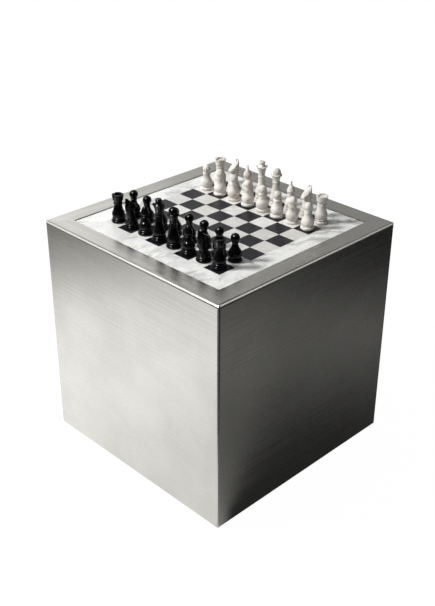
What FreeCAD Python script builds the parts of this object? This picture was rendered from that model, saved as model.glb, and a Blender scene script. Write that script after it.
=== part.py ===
import FreeCAD, Part
import math
import os
import Sketcher

# A cube side table of folded sheet steel with a stone chess board let into its top, and the
# thirty-two chessmen that stand on it. Millimetres. +Z is up, the origin is on the floor under
# the middle of the cube, the front face looks along -Y and the left face along -X. The dark
# chessmen stand along the left side of the board and the light ones along the right side.

# Driving dimensions: name, value, meaning. They fill the sheet that every feature reads.
SIZES = (
    ("cube_width", 460.0, "outside width and depth of the steel cube"),
    ("cube_height", 460.0, "height of the steel cube without its glides"),
    ("sheet_thick", 1.5, "thickness of the steel sheet"),
    ("fold_radius", 4.0, "outside radius of the folds along the top and bottom edges"),
    ("corner_radius", 3.0, "radius to which the upright corners of the steel are ground"),
    ("well_fold_radius", 2.0, "outside radius of the fold round the board"),
    ("lip_depth", 14.0, "depth of the lip that turns down beside the board"),
    ("foot_flange", 32.0, "width of the return along the bottom edge"),
    ("seam_gap", 0.2, "gap between two mitred steel panels"),
    ("rim_width", 39.0, "width of the steel rim round the board"),
    ("tile_thick", 10.0, "thickness of the stone tiles and border strips"),
    ("slab_thick", 8.0, "thickness of the stone slab that the tiles are bedded on"),
    ("stone_joint", 0.2, "joint between two neighbouring stones"),
    ("board_gap", 1.0, "gap between the board and the steel lip"),
    ("board_recess", 2.0, "depth of the board's surface below the steel rim"),
    ("pad_thick", 2.0, "thickness of the rubber pads under the slab"),
    ("pad_size", 60.0, "side of one square rubber pad"),
    ("pad_inset", 80.0, "distance of a pad's centre from the two nearest edges of the slab"),
    ("side_thick", 16.0, "thickness of the carcass side boards"),
    ("deck_thick", 18.0, "thickness of the deck that carries the board"),
    ("base_thick", 16.0, "thickness of the carcass base board"),
    ("batten_width", 30.0, "side of the square corner battens"),
    ("glue_gap", 0.1, "thickness of the glue line between steel and wood"),
    ("glide_height", 3.0, "height of the glides below the steel"),
    ("glide_radius", 13.0, "radius of a glide"),
    ("glide_inset", 52.0, "distance of a glide's centre from the two nearest faces"),
    ("screw_shank_radius", 1.75, "radius of a flange screw's shank"),
    ("screw_head_radius", 4.0, "radius of a flange screw's head"),
    ("screw_head_flat", 2.4, "radius of the flat on a flange screw's head"),
    ("screw_head_height", 1.8, "height of a flange screw's head"),
    ("screw_length", 15.0, "length of a flange screw below its head"),
    ("screw_clearance", 0.1, "radial play of a flange screw in its hole"),
    ("screw_inset", 23.0, "distance of a flange screw from the outside of its panel"),
    ("screw_spacing", 240.0, "distance between the two screws of one panel"),
    ("foot_height", 5.5, "height of a chessman's foot disc"),
    ("foot_ridge", 1.2, "how far the rim of a foot disc stands out from its edges"),
    ("bead_height", 3.2, "height of the bead on an officer's foot"),
    ("bead_ridge", 1.0, "how far a bead or ring stands out from its edges"),
    ("bead_step", 1.6, "how far an officer's bead stands back from the foot disc"),
    ("ring_height", 2.2, "height of a ring round a neck"),
    ("groove_height", 0.8, "height of the groove above a foot disc"),
    ("groove_depth", 3.6, "depth of the groove above a foot disc"),
    ("officer_foot_radius", 14.0, "widest radius of a king's, queen's, bishop's or knight's foot"),
    ("pawn_foot_radius", 13.1, "widest radius of a pawn's foot"),
    ("pawn_belly_radius", 12.2, "widest radius of a pawn's belly"),
    ("pawn_belly_level", 14.0, "level of a pawn's widest belly line"),
    ("pawn_neck_radius", 6.7, "radius of a pawn's neck"),
    ("pawn_neck_level", 36.3, "level of a pawn's neck, under its ring"),
    ("pawn_ring_radius", 7.5, "radius of the ring round a pawn's neck"),
    ("pawn_head_radius", 8.3, "radius of a pawn's round head"),
    ("rook_foot_radius", 13.5, "widest radius of a rook's foot"),
    ("rook_belly_radius", 12.2, "widest radius of a rook's belly"),
    ("rook_belly_level", 15.5, "level of a rook's widest belly line"),
    ("rook_neck_radius", 7.4, "radius of a rook's neck"),
    ("rook_neck_level", 36.5, "level of a rook's neck"),
    ("rook_drum_level", 43.5, "level of the underside of a rook's drum"),
    ("rook_drum_radius", 11.0, "radius of a rook's drum at its top"),
    ("rook_drum_taper", 1.2, "how much a rook's drum narrows towards its underside"),
    ("rook_height", 54.5, "height of a rook"),
    ("rook_wall", 3.2, "thickness of the wall round a rook's drum"),
    ("rook_bowl_depth", 5.0, "depth of the bowl in a rook's drum"),
    ("rook_notch_width", 3.4, "width of a notch in a rook's drum"),
    ("rook_notch_depth", 2.2, "depth of a notch in a rook's drum"),
    ("knight_plinth_radius", 10.6, "radius of the plinth under a knight's neck"),
    ("knight_plinth_level", 17.0, "level of the top of a knight's plinth"),
    ("knight_height", 62.0, "height of a knight at its ears"),
    ("knight_reach", 14.3, "how far a knight's mane stands out from its middle line"),
    ("knight_thick", 14.0, "greatest thickness of a knight's head and neck"),
    ("knight_mane_thick", 6.2, "thickness of a knight's head at its mane"),
    ("knight_rounding", 1.4, "radius of the rounded edges of a knight's head"),
    ("knight_ear_gap", 3.2, "width of the cleft between a knight's ears"),
    ("knight_ear_depth", 6.0, "depth of the cleft between a knight's ears"),
    ("knight_ear_start", 5.6, "how far behind the middle line the cleft between the ears starts"),
    ("bishop_belly_radius", 11.6, "widest radius of a bishop's belly"),
    ("bishop_belly_level", 16.0, "level of a bishop's widest belly line"),
    ("bishop_neck_radius", 4.9, "radius of a bishop's neck"),
    ("bishop_collar_level", 33.0, "level of the underside of a bishop's collar"),
    ("bishop_collar_radius", 7.2, "radius of a bishop's collar"),
    ("bishop_mitre_radius", 8.0, "widest radius of a bishop's mitre"),
    ("bishop_mitre_level", 41.0, "level of the widest line of a bishop's mitre"),
    ("bishop_shoulder_radius", 4.6, "radius of a bishop's mitre at its shoulder"),
    ("bishop_shoulder_level", 50.6, "level of the shoulder of a bishop's mitre"),
    ("bishop_stalk_level", 54.6, "level where the stalk on a bishop's mitre starts"),
    ("bishop_tip_radius", 2.0, "radius of the small ball on a bishop's mitre"),
    ("bishop_tip_neck", 1.5, "radius of the stalk on a bishop's mitre"),
    ("bishop_height", 61.0, "height of a bishop"),
    ("queen_belly_radius", 12.0, "widest radius of a queen's belly"),
    ("queen_belly_level", 17.0, "level of a queen's widest belly line"),
    ("queen_neck_radius", 6.2, "radius of a queen's neck"),
    ("queen_neck_level", 48.0, "level of a queen's neck, under its ring"),
    ("queen_ring_radius", 7.4, "radius of the ring round a queen's neck"),
    ("queen_crown_radius", 11.0, "radius of a queen's crown at its rim"),
    ("queen_crown_level", 70.0, "level of the rim of a queen's crown"),
    ("queen_crown_wall", 2.4, "thickness of the rim of a queen's crown"),
    ("queen_cap_drop", 1.2, "how far a queen's cap starts below the rim of her crown"),
    ("queen_cap_neck", 4.8, "radius of a queen's cap under its button"),
    ("queen_button_radius", 6.2, "radius of the button on a queen's cap"),
    ("queen_button_height", 6.0, "height of the button on a queen's cap"),
    ("queen_button_ridge", 1.6, "how far the rim of a queen's button stands out"),
    ("queen_height", 80.0, "height of a queen"),
    ("queen_notch_radius", 1.9, "radius of a notch in the rim of a queen's crown"),
    ("king_belly_radius", 12.0, "widest radius of a king's belly"),
    ("king_belly_level", 17.0, "level of a king's widest belly line"),
    ("king_neck_radius", 6.4, "radius of a king's neck"),
    ("king_neck_level", 47.0, "level of a king's neck, under its ring"),
    ("king_ring_radius", 7.6, "radius of the ring round a king's neck"),
    ("king_collar_radius", 11.0, "radius of the collar under a king's dome"),
    ("king_collar_level", 60.8, "level of the underside of the collar under a king's dome"),
    ("king_dome_radius", 8.5, "radius of a king's dome"),
    ("king_height", 76.0, "height of a king"),
)

SQUARES = 8
STRIPS = 2

# Derived sizes: name and formula, worked out by the sheet.
DERIVED = (
    ("half_width", "=cube_width / 2"),
    ("top_level", "=glide_height + cube_height"),
    ("well_half", "=half_width - rim_width"),
    ("board_half", "=well_half - board_gap"),
    ("tile_size", f"=2 * board_half / {SQUARES + STRIPS}"),
    ("field_half", f"=tile_size * {SQUARES} / 2"),
    ("board_level", "=top_level - board_recess"),
    ("slab_level", "=board_level - tile_thick - slab_thick"),
    ("deck_level", "=slab_level - pad_thick - deck_thick"),
    ("base_level", "=glide_height + sheet_thick"),
    ("side_level", "=base_level + base_thick"),
    ("side_height", "=deck_level - side_level"),
    ("carcass_half", "=half_width - sheet_thick - glue_gap"),
    ("rim_height", "=top_level - sheet_thick - glue_gap - deck_level - deck_thick"),
    ("rim_inner", "=well_half + sheet_thick + glue_gap"),
    ("batten_centre", "=carcass_half - side_thick - batten_width / 2"),
    ("pad_offset", "=board_half - pad_inset"),
    ("glide_thick", "=glide_height + sheet_thick"),
    ("screw_hole_radius", "=screw_shank_radius + screw_clearance"),
    ("bead_radius", "=officer_foot_radius - bead_step"),
    ("bead_level", "=foot_height + groove_height"),
    ("bead_top", "=bead_level + bead_height"),
)

SAME_PLACE = 1e-4
ROOK_NOTCHES = 4
QUEEN_NOTCHES = 8
SIDES = {"front": 0, "right": 90, "back": 180, "left": 270}
BACK_RANK = ("rook", "knight", "bishop", "king", "queen", "bishop", "knight", "rook")

doc = FreeCAD.newDocument("chess_table")
sheet = doc.addObject("Spreadsheet::Sheet", "Sizes")


def fill_sheet():
    """Write every size into the sheet: name, value and meaning, one to a row."""
    rows = [(name, str(value), note) for name, value, note in SIZES]
    rows += [(name, formula, "") for name, formula in DERIVED]
    for number, (name, content, note) in enumerate(rows, start=1):
        sheet.set(f"A{number}", name)
        sheet.set(f"B{number}", content)
        sheet.set(f"C{number}", note)
        sheet.setAlias(f"B{number}", name)
    doc.recompute()


def sized(formula):
    """The formula with every size name in it made a reference to the sheet."""
    for name in sorted(NAMES, key=len, reverse=True):
        formula = formula.replace(f"{{{name}}}", f"Sizes.{name}")
    return formula


def number(formula):
    """The value of a formula at the sheet's present sizes."""
    return float(sheet.evalExpression(sized(formula)))


NAMES = [row[0] for row in SIZES + DERIVED]


# ---- sketches and features ----------------------------------------------------------------


def new_body(name):
    """An empty body whose label names its file."""
    body = doc.addObject("PartDesign::Body", name)
    body.Label = name
    return body


def origin_part(body, role):
    """One of the planes or axes of a body's own origin."""
    return [item for item in body.Origin.OriginFeatures if item.Role == role][0]


def new_sketch(body, role, offset=None):
    """A sketch on an origin plane, moved by the formulas in offset, if any."""
    sketch = body.newObject("Sketcher::SketchObject", f"{body.Name}_sketch")
    sketch.AttachmentSupport = (origin_part(body, role), [""])
    sketch.MapMode = "FlatFace"
    for direction, formula in (offset or {}).items():
        sketch.setExpression(f".AttachmentOffset.Base.{direction}", sized(formula))
    return sketch


def pin_point(sketch, line, end, corner):
    """Hold one end of a line or arc at a corner given by two formulas."""
    for kind, formula in zip(("DistanceX", "DistanceY"), corner):
        index = sketch.addConstraint(Sketcher.Constraint(kind, -1, 1, line, end, number(formula)))
        sketch.setExpression(f"Constraints[{index}]", sized(formula))


def arc_between(start, end, radius):
    """The arc from start to end; it turns left when radius is positive, right when negative."""
    chord = end - start
    middle = (start + end) * 0.5
    reach = math.sqrt(max(radius**2 - (chord.Length / 2) ** 2, 0.0))
    left = FreeCAD.Vector(-chord.y, chord.x, 0).normalize()
    centre = middle + left * (reach if radius > 0 else -reach)
    angles = [math.atan2(point.y - centre.y, point.x - centre.x) for point in (start, end)]
    circle = Part.Circle(centre, FreeCAD.Vector(0, 0, 1), abs(radius))
    return Part.ArcOfCircle(circle, *(angles if radius > 0 else reversed(angles)))


def draw_outline(sketch, corners):
    """A closed outline. A corner is two formulas, or three where an arc of that radius leads to it."""
    places = [FreeCAD.Vector(number(c[0]), number(c[1]), 0) for c in corners]
    first = sketch.GeometryCount
    ends = []
    for index, corner in enumerate(corners):
        start, end = places[index - 1], places[index]
        if len(corner) == 2:
            sketch.addGeometry(Part.LineSegment(start, end), False)
            ends.append((1, 2))
            continue
        radius = number(corner[2])
        line = sketch.addGeometry(arc_between(start, end, radius), False)
        ends.append((1, 2) if radius > 0 else (2, 1))
        bend = sketch.addConstraint(Sketcher.Constraint("Radius", line, abs(radius)))
        sketch.setExpression(f"Constraints[{bend}]", f"abs({sized(corner[2])})")
    for index, corner in enumerate(corners):
        line, following = first + index, first + (index + 1) % len(corners)
        joint = Sketcher.Constraint(
            "Coincident", line, ends[index][1], following, ends[(index + 1) % len(corners)][0]
        )
        sketch.addConstraint(joint)
        pin_point(sketch, line, ends[index][1], corner)


def draw_rectangle(sketch, left, bottom, right, top):
    """A rectangle between two corners, each given by two formulas."""
    draw_outline(sketch, [(left, bottom), (right, bottom), (right, top), (left, top)])


def draw_circle(sketch, centre, radius):
    """A circle with its centre and its radius given by formulas."""
    place = FreeCAD.Vector(number(centre[0]), number(centre[1]), 0)
    circle = Part.Circle(place, FreeCAD.Vector(0, 0, 1), number(radius))
    line = sketch.addGeometry(circle, False)
    pin_point(sketch, line, 3, centre)
    index = sketch.addConstraint(Sketcher.Constraint("Radius", line, number(radius)))
    sketch.setExpression(f"Constraints[{index}]", sized(radius))


def add_feature(body, kind, sketch, **settings):
    """A feature on a sketch, which becomes the body's tip; a formula in settings is bound."""
    feature = body.newObject(f"PartDesign::{kind}", f"{body.Name}_{kind.lower()}")
    feature.Profile = sketch
    for name, value in settings.items():
        if isinstance(value, str) and "{" in value:
            feature.setExpression(name, sized(value))
        else:
            setattr(feature, name, value)
    body.Tip = feature
    return feature


def revolve(body, sketch):
    """A full turn of a sketch about its own upright axis."""
    return add_feature(body, "Revolution", sketch, ReferenceAxis=(sketch, ["V_Axis"]), Angle=360)


def add_ring(body, feature, count):
    """Copies of a feature, evenly spaced round the body's upright axis."""
    pattern = body.newObject("PartDesign::PolarPattern", f"{body.Name}_ring")
    pattern.Originals = [feature]
    pattern.Axis = (origin_part(body, "Z_Axis"), [""])
    pattern.Angle = 360
    pattern.Occurrences = count
    body.Tip = pattern
    return pattern


def ease_edges(body, kind, base, wanted, size):
    """Fillet or chamfer the edges of base for which wanted(edge) is true."""
    doc.recompute()
    names = [f"Edge{i}" for i, edge in enumerate(base.Shape.Edges, start=1) if wanted(edge)]
    feature = body.newObject(f"PartDesign::{kind}", f"{body.Name}_{kind.lower()}")
    feature.Base = (base, names)
    feature.setExpression("Radius" if kind == "Fillet" else "Size", sized(size))
    body.Tip = feature
    return feature


def cut_mitres(body, reach, gap):
    """Mitre both ends of a piece that runs along X, so that four of them meet with that gap."""
    mitres = new_sketch(body, "XY_Plane")
    shift = f"{gap} / sqrt(2)"
    for sign in ("", "-"):
        draw_outline(
            mitres,
            [
                (f"{sign}({reach})", f"-({reach})"),
                (f"{sign}({reach})", "0"),
                (f"{sign}(-{shift})", "0"),
                (f"{sign}({reach} - {shift})", f"-({reach})"),
            ],
        )
    add_feature(body, "Pocket", mitres, Type="ThroughAll", SideType="Symmetric")


def place(body, level="0", turn=0.0, x="0", y="0"):
    """Stand a body at a place given by formulas, turned about the upright axis."""
    body.Placement = FreeCAD.Placement(FreeCAD.Vector(), FreeCAD.Rotation(turn, 0, 0))
    for direction, formula in (("x", x), ("y", y), ("z", level)):
        body.setExpression(f".Placement.Base.{direction}", sized(formula))


# ---- steel cube ---------------------------------------------------------------------------


def runs_along_x(edge):
    """True for a straight edge that runs along X."""
    return abs(abs(edge.tangentAt(edge.FirstParameter).x) - 1) < SAME_PLACE and len(edge.Vertexes) == 2


def edge_at(y, z):
    """A test for the straight edges along X that pass through y and z, given as formulas."""
    wanted = FreeCAD.Vector(0, number(y), number(z))

    def test(edge):
        start = edge.Vertexes[0].Point
        return runs_along_x(edge) and (FreeCAD.Vector(0, start.y, start.z) - wanted).Length < SAME_PLACE

    return test


def any_of(tests):
    """A test that passes where one of the tests does."""
    return lambda edge: any(test(edge) for test in tests)


def round_ends(body):
    """Round the outside of a panel where it meets its neighbours at the upright corners."""
    corners = new_sketch(body, "XY_Plane")
    reach = "({half_width} + {fold_radius})"
    start, end = "({half_width} - {corner_radius})", "-{half_width}"
    for sign in ("", "-"):
        draw_outline(
            corners,
            [
                (f"{sign}{start}", end),
                (f"{sign}{{half_width}}", f"-{start}", f"{sign}{{corner_radius}}"),
                (f"{sign}{reach}", f"-{start}"),
                (f"{sign}{reach}", f"-{reach}"),
                (f"{sign}{start}", f"-{reach}"),
            ],
        )
    add_feature(body, "Pocket", corners, Type="ThroughAll", SideType="Symmetric")


def steel_panel(side):
    """One side of the cube: a sheet folded over the top, down beside the board and under the foot."""
    body = new_body(f"panel_{side}")
    outer, inner = "-{half_width}", "-{half_width} + {sheet_thick}"
    rim, rim_inside = "-{well_half}", "-{well_half} - {sheet_thick}"
    foot = "-{half_width} + {foot_flange}"
    top, under_top = "{top_level}", "{top_level} - {sheet_thick}"
    bottom, over_bottom = "{glide_height}", "{base_level}"
    lip_end = "{top_level} - {lip_depth}"
    profile = new_sketch(body, "YZ_Plane")
    draw_outline(
        profile,
        [
            (foot, bottom),
            (foot, over_bottom),
            (inner, over_bottom),
            (inner, under_top),
            (rim_inside, under_top),
            (rim_inside, lip_end),
            (rim, lip_end),
            (rim, top),
            (outer, top),
            (outer, bottom),
        ],
    )
    sheet_metal = add_feature(
        body, "Pad", profile, SideType="Symmetric", Length="{cube_width}"
    )
    outer_folds = any_of([edge_at(outer, top), edge_at(outer, bottom)])
    folded = ease_edges(body, "Fillet", sheet_metal, outer_folds, "{fold_radius}")
    inner_folds = any_of([edge_at(inner, under_top), edge_at(inner, over_bottom)])
    folded = ease_edges(body, "Fillet", folded, inner_folds, "{fold_radius} - {sheet_thick}")
    folded = ease_edges(body, "Fillet", folded, edge_at(rim, top), "{well_fold_radius}")
    ease_edges(
        body, "Fillet", folded, edge_at(rim_inside, under_top), "{well_fold_radius} - {sheet_thick}"
    )
    cut_mitres(body, "{half_width} + {fold_radius}", "{seam_gap}")
    round_ends(body)
    holes = new_sketch(body, "XY_Plane")
    for sign in ("", "-"):
        centre = (f"{sign}{{screw_spacing}} / 2", "-{half_width} + {screw_inset}")
        draw_circle(holes, centre, "{screw_hole_radius}")
    add_feature(body, "Pocket", holes, Length="{base_level} + {fold_radius}", Reversed=True)
    place(body, turn=SIDES[side])


def flange_screws():
    """The screws that hold the foot flanges of the panels to the base board."""
    body = new_body("flange_screws")
    features = []
    for sign in ("", "-"):
        offset = {"x": "{half_width} - {screw_inset}", "z": f"{sign}{{screw_spacing}} / 2"}
        profile = new_sketch(body, "XZ_Plane", offset)
        draw_outline(
            profile,
            [
                ("0", "{glide_height} - {screw_head_height}"),
                ("{screw_head_flat}", "{glide_height} - {screw_head_height}"),
                ("{screw_head_radius}", "{glide_height}"),
                ("{screw_shank_radius}", "{glide_height}"),
                ("{screw_shank_radius}", "{glide_height} + {screw_length} - {screw_shank_radius}"),
                ("0", "{glide_height} + {screw_length}"),
            ],
        )
        features.append(revolve(body, profile))
    pattern = add_ring(body, features[0], len(SIDES))
    pattern.Originals = features
    place(body)


def glides():
    """The four low nylon glides under the base board, set in from the corners."""
    body = new_body("glides")
    offset = {"x": "({half_width} - {glide_inset}) * sqrt(2)"}
    profile = new_sketch(body, "XZ_Plane", offset)
    draw_outline(
        profile,
        [
            ("0", "0"),
            ("{glide_radius} - {glide_height} / 2", "0"),
            ("{glide_radius}", "{glide_height} / 2"),
            ("{glide_radius}", "{glide_thick}"),
            ("0", "{glide_thick}"),
        ],
    )
    add_ring(body, revolve(body, profile), len(SIDES))
    place(body, turn=45)


# ---- wooden carcass -----------------------------------------------------------------------


def base_board():
    """The bottom of the carcass: it lies on the foot flanges and takes their screws."""
    body = new_body("base_board")
    outline = new_sketch(body, "XY_Plane")
    draw_rectangle(outline, *["-{carcass_half}"] * 2, *["{carcass_half}"] * 2)
    board = add_feature(body, "Pad", outline, Length="{base_thick}")
    ease_edges(body, "Chamfer", board, lambda edge: edge.BoundBox.ZMax < SAME_PLACE, "{fold_radius}")
    pilots = new_sketch(body, "XY_Plane")
    near, far = "{half_width} - {screw_inset}", "{screw_spacing} / 2"
    for first in ("", "-"):
        for second in ("", "-"):
            draw_circle(pilots, (f"{first}({near})", f"{second}{far}"), "{screw_hole_radius}")
            draw_circle(pilots, (f"{second}{far}", f"{first}({near})"), "{screw_hole_radius}")
    depth = "{screw_length} - {sheet_thick} + {screw_clearance}"
    add_feature(body, "Pocket", pilots, Length=depth, Reversed=True)
    place(body, level="{base_level}")


def box_board(name, length, width, height, level, turn=0.0, y="0"):
    """A plain board centred on X, with its near long face at y, turned about the upright axis."""
    body = new_body(name)
    outline = new_sketch(body, "XY_Plane")
    draw_rectangle(outline, f"-({length}) / 2", y, f"({length}) / 2", f"({y}) + {width}")
    add_feature(body, "Pad", outline, Length=height)
    place(body, level=level, turn=turn)


def carcass_sides():
    """Four side boards: the front and back ones run through, the other two stand between them."""
    through = "2 * {carcass_half}"
    between = "2 * {carcass_half} - 2 * {side_thick}"
    for side, turn in SIDES.items():
        length = through if side in ("front", "back") else between
        box_board(
            f"carcass_{side}",
            length,
            "{side_thick}",
            "{side_height}",
            "{side_level}",
            turn=turn,
            y="-{carcass_half}",
        )


def corner_battens():
    """The four battens glued into the inner corners of the carcass."""
    body = new_body("corner_battens")
    outline = new_sketch(body, "XY_Plane")
    low, high = "{batten_centre} - {batten_width} / 2", "{batten_centre} + {batten_width} / 2"
    draw_rectangle(outline, low, low, high, high)
    add_ring(body, add_feature(body, "Pad", outline, Length="{side_height}"), len(SIDES))
    place(body, level="{side_level}")


def deck_board():
    """The deck: it lies on the side boards and battens and carries the chess board."""
    width = "2 * {carcass_half}"
    box_board("deck_board", width, width, "{deck_thick}", "{deck_level}", y="-{carcass_half}")


def rim_strips():
    """Four mitred strips on the deck that back the steel rim, eased where the steel is folded."""
    body = new_body("rim_strips")
    profile = new_sketch(body, "YZ_Plane")
    draw_outline(
        profile,
        [
            ("-{carcass_half}", "0"),
            ("-{rim_inner}", "0"),
            ("-{rim_inner}", "{rim_height} - {well_fold_radius}"),
            ("-{rim_inner} - {well_fold_radius}", "{rim_height}"),
            ("-{carcass_half} + {fold_radius}", "{rim_height}"),
            ("-{carcass_half}", "{rim_height} - {fold_radius}"),
        ],
    )
    strip = add_feature(body, "Pad", profile, SideType="Symmetric", Length="2 * {carcass_half}")
    cut_mitres(body, "{carcass_half} + {fold_radius}", "{glue_gap}")
    ring = add_ring(body, strip, len(SIDES))
    ring.TransformMode = "Whole shape"
    place(body, level="{deck_level} + {deck_thick}")


# ---- stone board --------------------------------------------------------------------------


def board_pads():
    """Four rubber pads between the slab and the deck."""
    body = new_body("board_pads")
    outline = new_sketch(body, "XY_Plane")
    low, high = "{pad_offset} - {pad_size} / 2", "{pad_offset} + {pad_size} / 2"
    draw_rectangle(outline, low, low, high, high)
    add_ring(body, add_feature(body, "Pad", outline, Length="{pad_thick}"), len(SIDES))
    place(body, level="{deck_level} + {deck_thick}")


def board_slab():
    """The stone slab that all the tiles and border strips are bedded on."""
    width = "2 * {board_half}"
    box_board("board_slab", width, width, "{slab_thick}", "{slab_level}", y="-{board_half}")


def border_strip(side):
    """One mitred strip of the pale stone border."""
    body = new_body(f"border_{side}")
    outline = new_sketch(body, "XY_Plane")
    inner, outer = "({field_half} + {stone_joint} / 2)", "({board_half} - {stone_joint} / 2)"
    draw_outline(
        outline,
        [
            (f"-{outer}", "-{board_half}"),
            (f"{outer}", "-{board_half}"),
            ("{field_half}", f"-{inner}"),
            ("-{field_half}", f"-{inner}"),
        ],
    )
    add_feature(body, "Pad", outline, Length="{tile_thick}")
    place(body, level="{slab_level} + {slab_thick}", turn=SIDES[side])


def tiles(name, first_squares):
    """Half of the chess squares: the given two of a block of four, repeated over the board."""
    body = new_body(name)
    outline = new_sketch(body, "XY_Plane")
    for column, row in first_squares:
        low = [f"({n} - 4) * {{tile_size}} + {{stone_joint}} / 2" for n in (column, row)]
        high = [f"({n} - 3) * {{tile_size}} - {{stone_joint}} / 2" for n in (column, row)]
        draw_rectangle(outline, *low, *high)
    block = add_feature(body, "Pad", outline, Length="{tile_thick}")
    field = body.newObject("PartDesign::MultiTransform", f"{name}_field")
    field.Originals = [block]
    rows = []
    for role in ("X_Axis", "Y_Axis"):
        row = doc.addObject("PartDesign::LinearPattern", f"{name}_{role[0].lower()}_row")
        row.Direction = (origin_part(body, role), [""])
        row.setExpression("Length", sized(f"({SQUARES} - 2) * {{tile_size}}"))
        row.Occurrences = SQUARES // 2
        rows.append(row)
    field.Transformations = rows
    body.Tip = field
    place(body, level="{slab_level} + {slab_thick}")


# ---- chessmen -----------------------------------------------------------------------------

# A turned outline runs from the underside up the right side to the top. Each function below
# gives the corners of one form in it, as draw_outline wants them.


def ridge(radius, depth, low, high):
    """The edge of a disc, bead or ring, which slopes out by depth to radius and back again."""
    edge = f"{radius} - {depth}"
    return [(edge, low), (radius, f"(({low}) + ({high})) / 2"), (edge, high)]


def belly(radius, level, start, neck, neck_level):
    """A ball-shaped belly from the level start, which runs smoothly into the waist under a neck."""
    rise = f"({neck_level} - ({level}))"
    waist = f"(({neck}^2 + {rise}^2 - {radius}^2) / (2 * ({radius} - {neck})))"
    share = f"({radius} / ({radius} + {waist}))"
    return [
        (f"sqrt({radius}^2 - ({level} - ({start}))^2)", start),
        (f"({neck} + {waist}) * {share}", f"{level} + {rise} * {share}", radius),
        (neck, neck_level, f"-{waist}"),
    ]


def drop(radius, level, start, tip, tip_level):
    """A ball-shaped body from the level start, with a straight taper from the ball to a tip."""
    rise = f"({tip_level} - ({level}))"
    reach = f"({tip}^2 + {rise}^2)"
    tangent = f"sqrt({reach} - {radius}^2)"
    touch_out = f"{radius} * ({radius} * {tip} + {tangent} * {rise}) / {reach}"
    touch_up = f"{level} + {radius} * ({radius} * {rise} - {tangent} * {tip}) / {reach}"
    return [
        (f"sqrt({radius}^2 - ({level} - ({start}))^2)", start),
        (touch_out, touch_up, radius),
        (tip, tip_level),
    ]


def flare(neck, neck_level, rim, rim_level):
    """A hollow curve that leaves a neck upright and opens out to a rim."""
    out, up = f"({rim} - ({neck}))", f"({rim_level} - ({neck_level}))"
    return [(rim, rim_level, f"-({out}^2 + {up}^2) / (2 * {out})")]


def pawn_foot():
    """The underside, the foot disc and the groove of a pawn."""
    foot = "{pawn_foot_radius}"
    return [
        ("0", "0"),
        *ridge(foot, "{foot_ridge}", "0", "{foot_height}"),
        (f"{foot} - {{groove_depth}}", "{bead_level} - {groove_height} / 2"),
    ]


def officer_foot(foot="{officer_foot_radius}"):
    """The underside, the foot disc, the groove and the bead of an officer."""
    bead = f"{foot} - {{bead_step}}"
    return [
        ("0", "0"),
        *ridge(foot, "{foot_ridge}", "0", "{foot_height}"),
        (f"{foot} - {{groove_depth}}", "{bead_level} - {groove_height} / 2"),
        *ridge(bead, "{bead_ridge}", "{bead_level}", "{bead_top}"),
    ]


def turned(body, corners):
    """A turned solid whose outline starts and ends on the upright axis."""
    profile = new_sketch(body, "XZ_Plane")
    draw_outline(profile, corners)
    return revolve(body, profile)


def pawn(body):
    """A foot, a belly that narrows to a ringed neck, and a round head."""
    neck, level, head = "{pawn_neck_radius}", "{pawn_neck_level}", "{pawn_head_radius}"
    ring_top = f"{level} + {{ring_height}}"
    centre = f"{ring_top} + sqrt({head}^2 - {neck}^2)"
    turned(
        body,
        pawn_foot()
        + belly("{pawn_belly_radius}", "{pawn_belly_level}", "{bead_level}", neck, level)
        + ridge("{pawn_ring_radius}", "{bead_ridge}", level, ring_top)
        + [
            (neck, ring_top),
            ("0", f"{centre} + {head}", head),
        ],
    )


def rook(body):
    """A foot, a belly, and a flared neck that carries a drum with a bowl and four notches."""
    neck, level = "{rook_neck_radius}", "{rook_neck_level}"
    drum, top = "{rook_drum_radius}", "{rook_height}"
    bowl = f"{drum} - {{rook_wall}}"
    turned(
        body,
        officer_foot("{rook_foot_radius}")
        + belly("{rook_belly_radius}", "{rook_belly_level}", "{bead_top}", neck, level)
        + flare(neck, level, f"{drum} - 2 * {{rook_drum_taper}}", "{rook_drum_level}")
        + [
            (f"{drum} - {{rook_drum_taper}}", "{rook_drum_level}"),
            (drum, top),
            (bowl, top),
            (bowl, f"{top} - {{rook_bowl_depth}}"),
            ("0", f"{top} - {{rook_bowl_depth}}"),
        ],
    )
    slot = new_sketch(body, "XY_Plane", {"z": top})
    half = "{rook_notch_width} / 2"
    draw_rectangle(slot, "0", f"-{half}", f"{drum} + {{rook_wall}}", half)
    doc.recompute()
    notch = add_feature(body, "Pocket", slot, Length="{rook_notch_depth}")
    add_ring(body, notch, ROOK_NOTCHES)


# A knight's side view. The first two numbers are shares of its reach and of its height, the
# third is the radius of the arc that leads there as a share of its height. It looks along -X.
KNIGHT_SIDE = (
    (0.45, 0.26),  # foot of the mane
    (1.00, 0.72, 1.10),  # crest of the neck
    (0.78, 1.00, 1.20),  # tips of the ears
    (0.40, 0.90),  # front of the ears
    (-0.80, 0.715),  # nostrils
    (-0.87, 0.66),  # lips
    (-0.73, 0.595),  # chin
    (-0.27, 0.56),  # throat
    (-0.56, 0.26),  # chest
)
KNIGHT_MOUTH = (
    (-1.00, 0.630),  # below the lips
    (-0.60, 0.650),  # corner of the mouth
    (-1.00, 0.655),  # above the lips
)


CHEEK_SLOPE = 0.5  # the share of its length by which an edge that runs across the head runs along Y


def knight_points(shares):
    """The corners of an outline that is given in shares of a knight's reach and height."""
    reach, height = "{knight_reach}", "{knight_height}"
    return [
        (f"{reach} * {out}", f"{height} * {up}", *(f"{height} * {share}" for share in curve))
        for out, up, *curve in shares
    ]


def on_a_cheek(edge):
    """True for an edge between a cheek and the outline of a knight's head, above its plinth."""
    first, last = edge.ParameterRange
    middle = edge.valueAt((first + last) / 2)
    runs_across = abs(edge.tangentAt((first + last) / 2).y) > CHEEK_SLOPE
    return not runs_across and abs(middle.y) > SAME_PLACE and edge.BoundBox.ZLength > SAME_PLACE


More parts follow.
